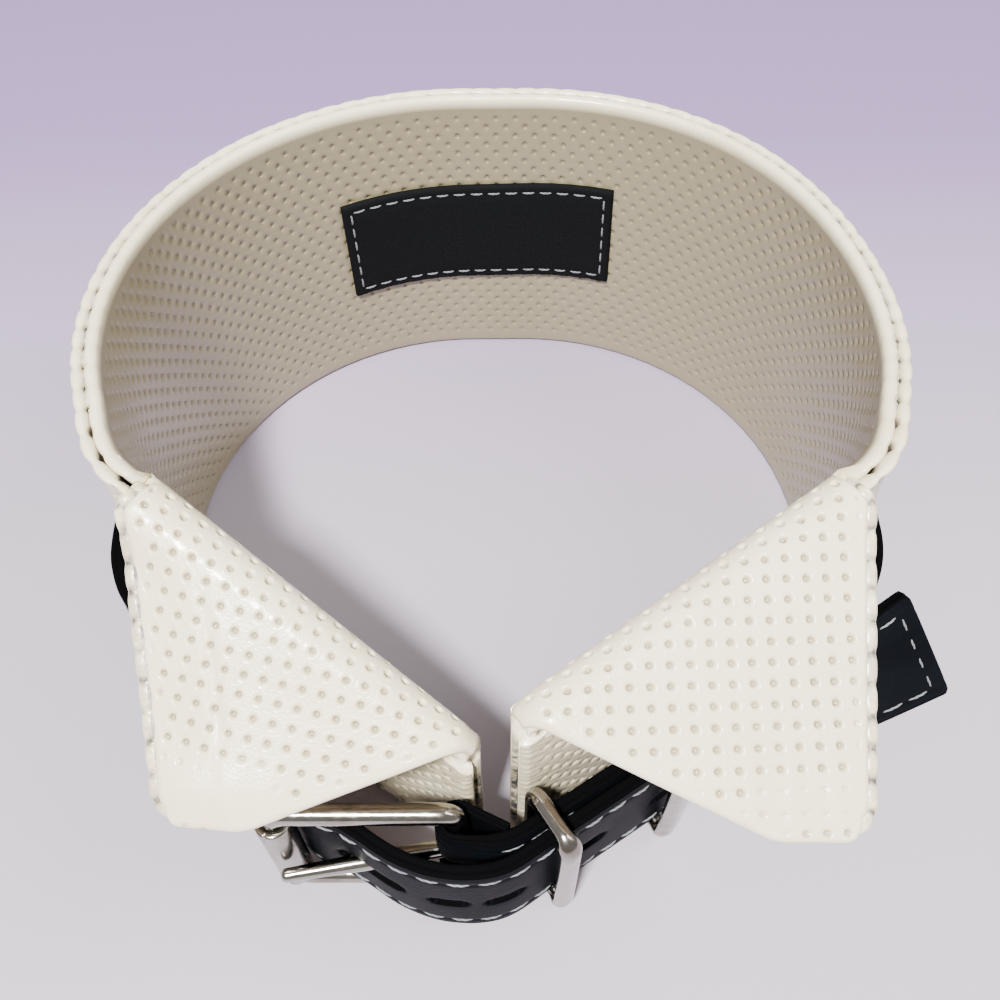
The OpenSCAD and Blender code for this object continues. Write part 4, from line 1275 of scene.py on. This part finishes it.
def wire_loop(name, length, height, bend, wire, middle, turn, front_wide=1.0):
    """Closed rounded loop of wire standing in the plan direction turn; its far bar may be wide."""
    flat = np.append(heading(turn), 0.0)
    sideways = np.array([flat[1], -flat[0], 0.0])
    inner_x, inner_z = length / 2 - bend, height / 2 - bend
    corner_turns = np.concatenate([np.linspace(k, k + 1, bend_points) * math.pi / 2 for k in range(4)])
    path_x = np.repeat([inner_x, -inner_x, -inner_x, inner_x], bend_points) + bend * np.cos(corner_turns)
    path_z = np.repeat([inner_z, inner_z, -inner_z, -inner_z], bend_points) + bend * np.sin(corner_turns)
    path = np.stack([path_x, path_z, corner_turns], axis=-1)
    path = np.concatenate([path, [(path_x[0], path_z[0], full_turn)]])
    steps = lengths_along(path[:, :2])
    x, z, way = follow(np.arange(0, steps[-1], wire_step), steps, path).T[..., None]
    wide = 1 + (front_wide - 1) * ease(x, length / 2 - bend, length / 2 - 0.25 * bend)
    out = wire / 2 * np.cos(wire_round) / wide ** 0.5
    aside = wire / 2 * np.sin(wire_round) * wide
    plan_x = x + out * np.cos(way)
    rise = z + out * np.sin(way)
    points = plan_x[..., None] * flat + rise[..., None] * upright
    points = points + aside[..., None] * sideways + np.append(middle, strap_mid)
    return make_piece(name, points.reshape(-1, 3), loop_faces(*aside.shape), nickel)


buckle = wire_loop(
    "buckle_wire", bar_span, frame_height, frame_bend, frame_wire, (anchor_at + roller_at) / 2, math.pi
)
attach(buckle, "buckle_frame")
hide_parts("buckle_frame")

tube_seam_depth = 0.3
tube_seam_width = 0.13
turned_steps = 120


def turned(profile, seam_turn=None):
    """Points and faces of a ring turned about the upright: closed profile of (radius, height) points."""
    around = np.linspace(0, full_turn, turned_steps + 1)[:-1]
    reach = np.tile(profile[:, 0], (len(around), 1))
    if seam_turn is not None:
        off = (around - seam_turn + math.pi) % full_turn - math.pi
        outer = profile[:, 0] > profile[:, 0].mean()
        reach -= tube_seam_depth * bell(off * roller_radius, tube_seam_width)[:, None] * outer
    plan = reach[..., None] * heading(around)[:, None]
    height = np.broadcast_to(profile[:, 1], reach.shape)[..., None]
    return np.concatenate([plan, height], axis=-1).reshape(-1, 3), loop_faces(*reach.shape)


# The roller's ends are rounded over: in from its outside, and along from its end
bore = frame_wire / 2 + running_gap
roller_half = frame_height / 2 - frame_bend - running_gap
roller_seam_turn = math.radians(250)
end_rounding = np.array([(0.3, 0.0), (0.08, 0.12), (0.0, 0.4)])
low_end = np.stack([roller_radius - end_rounding[:, 0], end_rounding[:, 1] - roller_half], axis=-1)
roller_profile = np.concatenate([
    [(bore, -roller_half)], low_end, [(roller_radius, 0.0)], low_end[::-1] * (1, -1),
    [(bore, roller_half), (bore, 0.0)],
])
points, faces = turned(roller_profile, roller_seam_turn)
roller = make_piece("roller_tube", points + np.append(roller_at, strap_mid), faces, nickel)
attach(roller, "buckle_roller")
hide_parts("buckle_roller")

# The prong's eye is a flat band with rounded edges; its shaft tapers a little to a round point
prong_reach = bar_span + 0.4
prong_point = 0.7
prong_taper = 0.22
eye_ply = 0.7
eye_square = 0.6
eye_across, eye_up = heading(np.linspace(0, full_turn, 17)[:-1]).T
eye_profile = np.stack([
    bore + eye_ply / 2 + eye_ply / 2 * np.sign(eye_across) * np.abs(eye_across) ** eye_square,
    prong_wire / 2 * np.sign(eye_up) * np.abs(eye_up) ** eye_square,
], axis=-1)
eye_points, eye_faces = turned(eye_profile)
shaft_from = 1.7
shaft_middle = np.linspace(1.8, prong_reach - 1.0, 60)
shaft_tip = prong_reach - np.linspace(prong_point, 0, 6)
shaft_at = np.concatenate([[shaft_from], shaft_middle, shaft_tip])
shaft_thick = prong_wire / 2 * (1 - prong_taper * ease(shaft_at, prong_reach * 0.45, prong_reach))
shaft_thick = shaft_thick * np.sqrt(1 - np.clip((shaft_at - prong_reach + prong_point) / 0.8, 0, 1) ** 2)
shaft_run = np.append(heading(math.pi + prong_lean), 0.0)
shaft_side = np.array([-shaft_run[1], shaft_run[0], 0.0])
shaft_points = shaft_at[:, None, None] * shaft_run
shaft_points = shaft_points + (shaft_thick[:, None] * np.cos(wire_round))[..., None] * shaft_side
shaft_points = shaft_points + (shaft_thick[:, None] * np.sin(wire_round))[..., None] * upright
shaft_size = (len(shaft_at), len(wire_round), len(eye_points))
shaft_faces = ring_faces(*shaft_size).tolist() + end_caps(*shaft_size)
points = np.concatenate([eye_points, shaft_points.reshape(-1, 3)]) + np.append(anchor_at, strap_mid)
prong = make_piece("prong_wire", points, eye_faces + shaft_faces, nickel)
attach(prong, "buckle_prong")
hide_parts("buckle_prong")

# Keepers: two plain loops of the same plated wire that hold both strap layers together.
# Each is a little flattened in front, and slides along the strap's straight front.
keeper_wire = 2.4
keeper_depth = 8.15
keeper_height = 23.4
keeper_bend = 1.8
keeper_out = 9.275
keeper_wide = 1.3
for keeper_name, keeper_at in (("near_keeper", near_keeper_at), ("far_keeper", far_keeper_at)):
    keeper = wire_loop(
        f"{keeper_name}_wire", keeper_depth, keeper_height, keeper_bend, keeper_wire,
        front_at(keeper_at, keeper_out), front_turn, keeper_wide,
    )
    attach(keeper, keeper_name)
    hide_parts(keeper_name)

# Floor, light and camera: a lavender table, painted paler towards the front as painted light, a small lamp
# high in front on the left, a broad weak one on the right, and even light from all round.
floor_size = 1.6
floor_drop = 0.0001
floor_mesh = bpy.data.meshes.new("floor")
floor_mesh.from_pydata(
    [(x * floor_size, y * floor_size, -floor_drop) for x, y in ((-1, -1), (1, -1), (1, 1), (-1, 1))],
    [], [(0, 1, 2, 3)],
)
floor = bpy.data.objects.new("floor", floor_mesh)
bpy.context.scene.collection.objects.link(floor)
floor_paint, tree, shader = new_material("floor_paint")
floor_at = add_node(tree, "ShaderNodeNewGeometry").outputs["Position"]
floor_cloud = times(tree, noise(tree, floor_at, 9.0, 3.0), 0.12)
# Painted light: the table is paler and more neutral towards the front, and deeper lavender behind
floor_light_and_mottle = plus(tree, span(tree, split_vector(tree, floor_at)[1], -0.01, 0.13), floor_cloud)
fill(tree, shader, {
    "Base Color": blend_colour(tree, floor_light_and_mottle, (0.44, 0.395, 0.45), (0.285, 0.19, 0.385)),
    "Roughness": 0.55,
})
floor_mesh.materials.append(floor_paint)

# Each lamp has a place, a size and a power, and faces the middle of the table
lamp_specs = {
    "key_lamp": ((-0.165, -0.438, 0.826), 0.11, 30.0),
    "side_lamp": ((0.62, 0.0, 0.70), 0.5, 7.0),
}
for lamp_name, (lamp_at, lamp_size, lamp_power) in lamp_specs.items():
    lamp_data = bpy.data.lights.new(lamp_name, "AREA")
    lamp_data.size = lamp_size
    lamp_data.energy = lamp_power
    lamp = bpy.data.objects.new(lamp_name, lamp_data)
    lamp.location = lamp_at
    aim = -lamp.location
    lamp.rotation_euler = aim.to_track_quat("-Z", "Y").to_euler()
    bpy.context.scene.collection.objects.link(lamp)
room = bpy.data.worlds.new("room")
room.use_nodes = True
room_light = room.node_tree.nodes["Background"].inputs
room_light["Color"].default_value = (1.0, 0.97, 0.94, 1)
room_light["Strength"].default_value = 0.42
bpy.context.scene.world = room

camera_data = bpy.data.cameras.new("camera")
camera_data.lens = 36.0
camera_data.sensor_width = 36.0
camera_data.clip_start = 0.01
camera = bpy.data.objects.new("camera", camera_data)
camera.location = (1.19 * mm, -108.4 * mm, 148.3 * mm)
camera_down = 53
camera_tilt = math.radians(90 - camera_down)
camera_roll = math.radians(0.3)
camera.rotation_euler = (camera_tilt, camera_roll, 0.0)
bpy.context.scene.collection.objects.link(camera)
bpy.context.scene.camera = camera
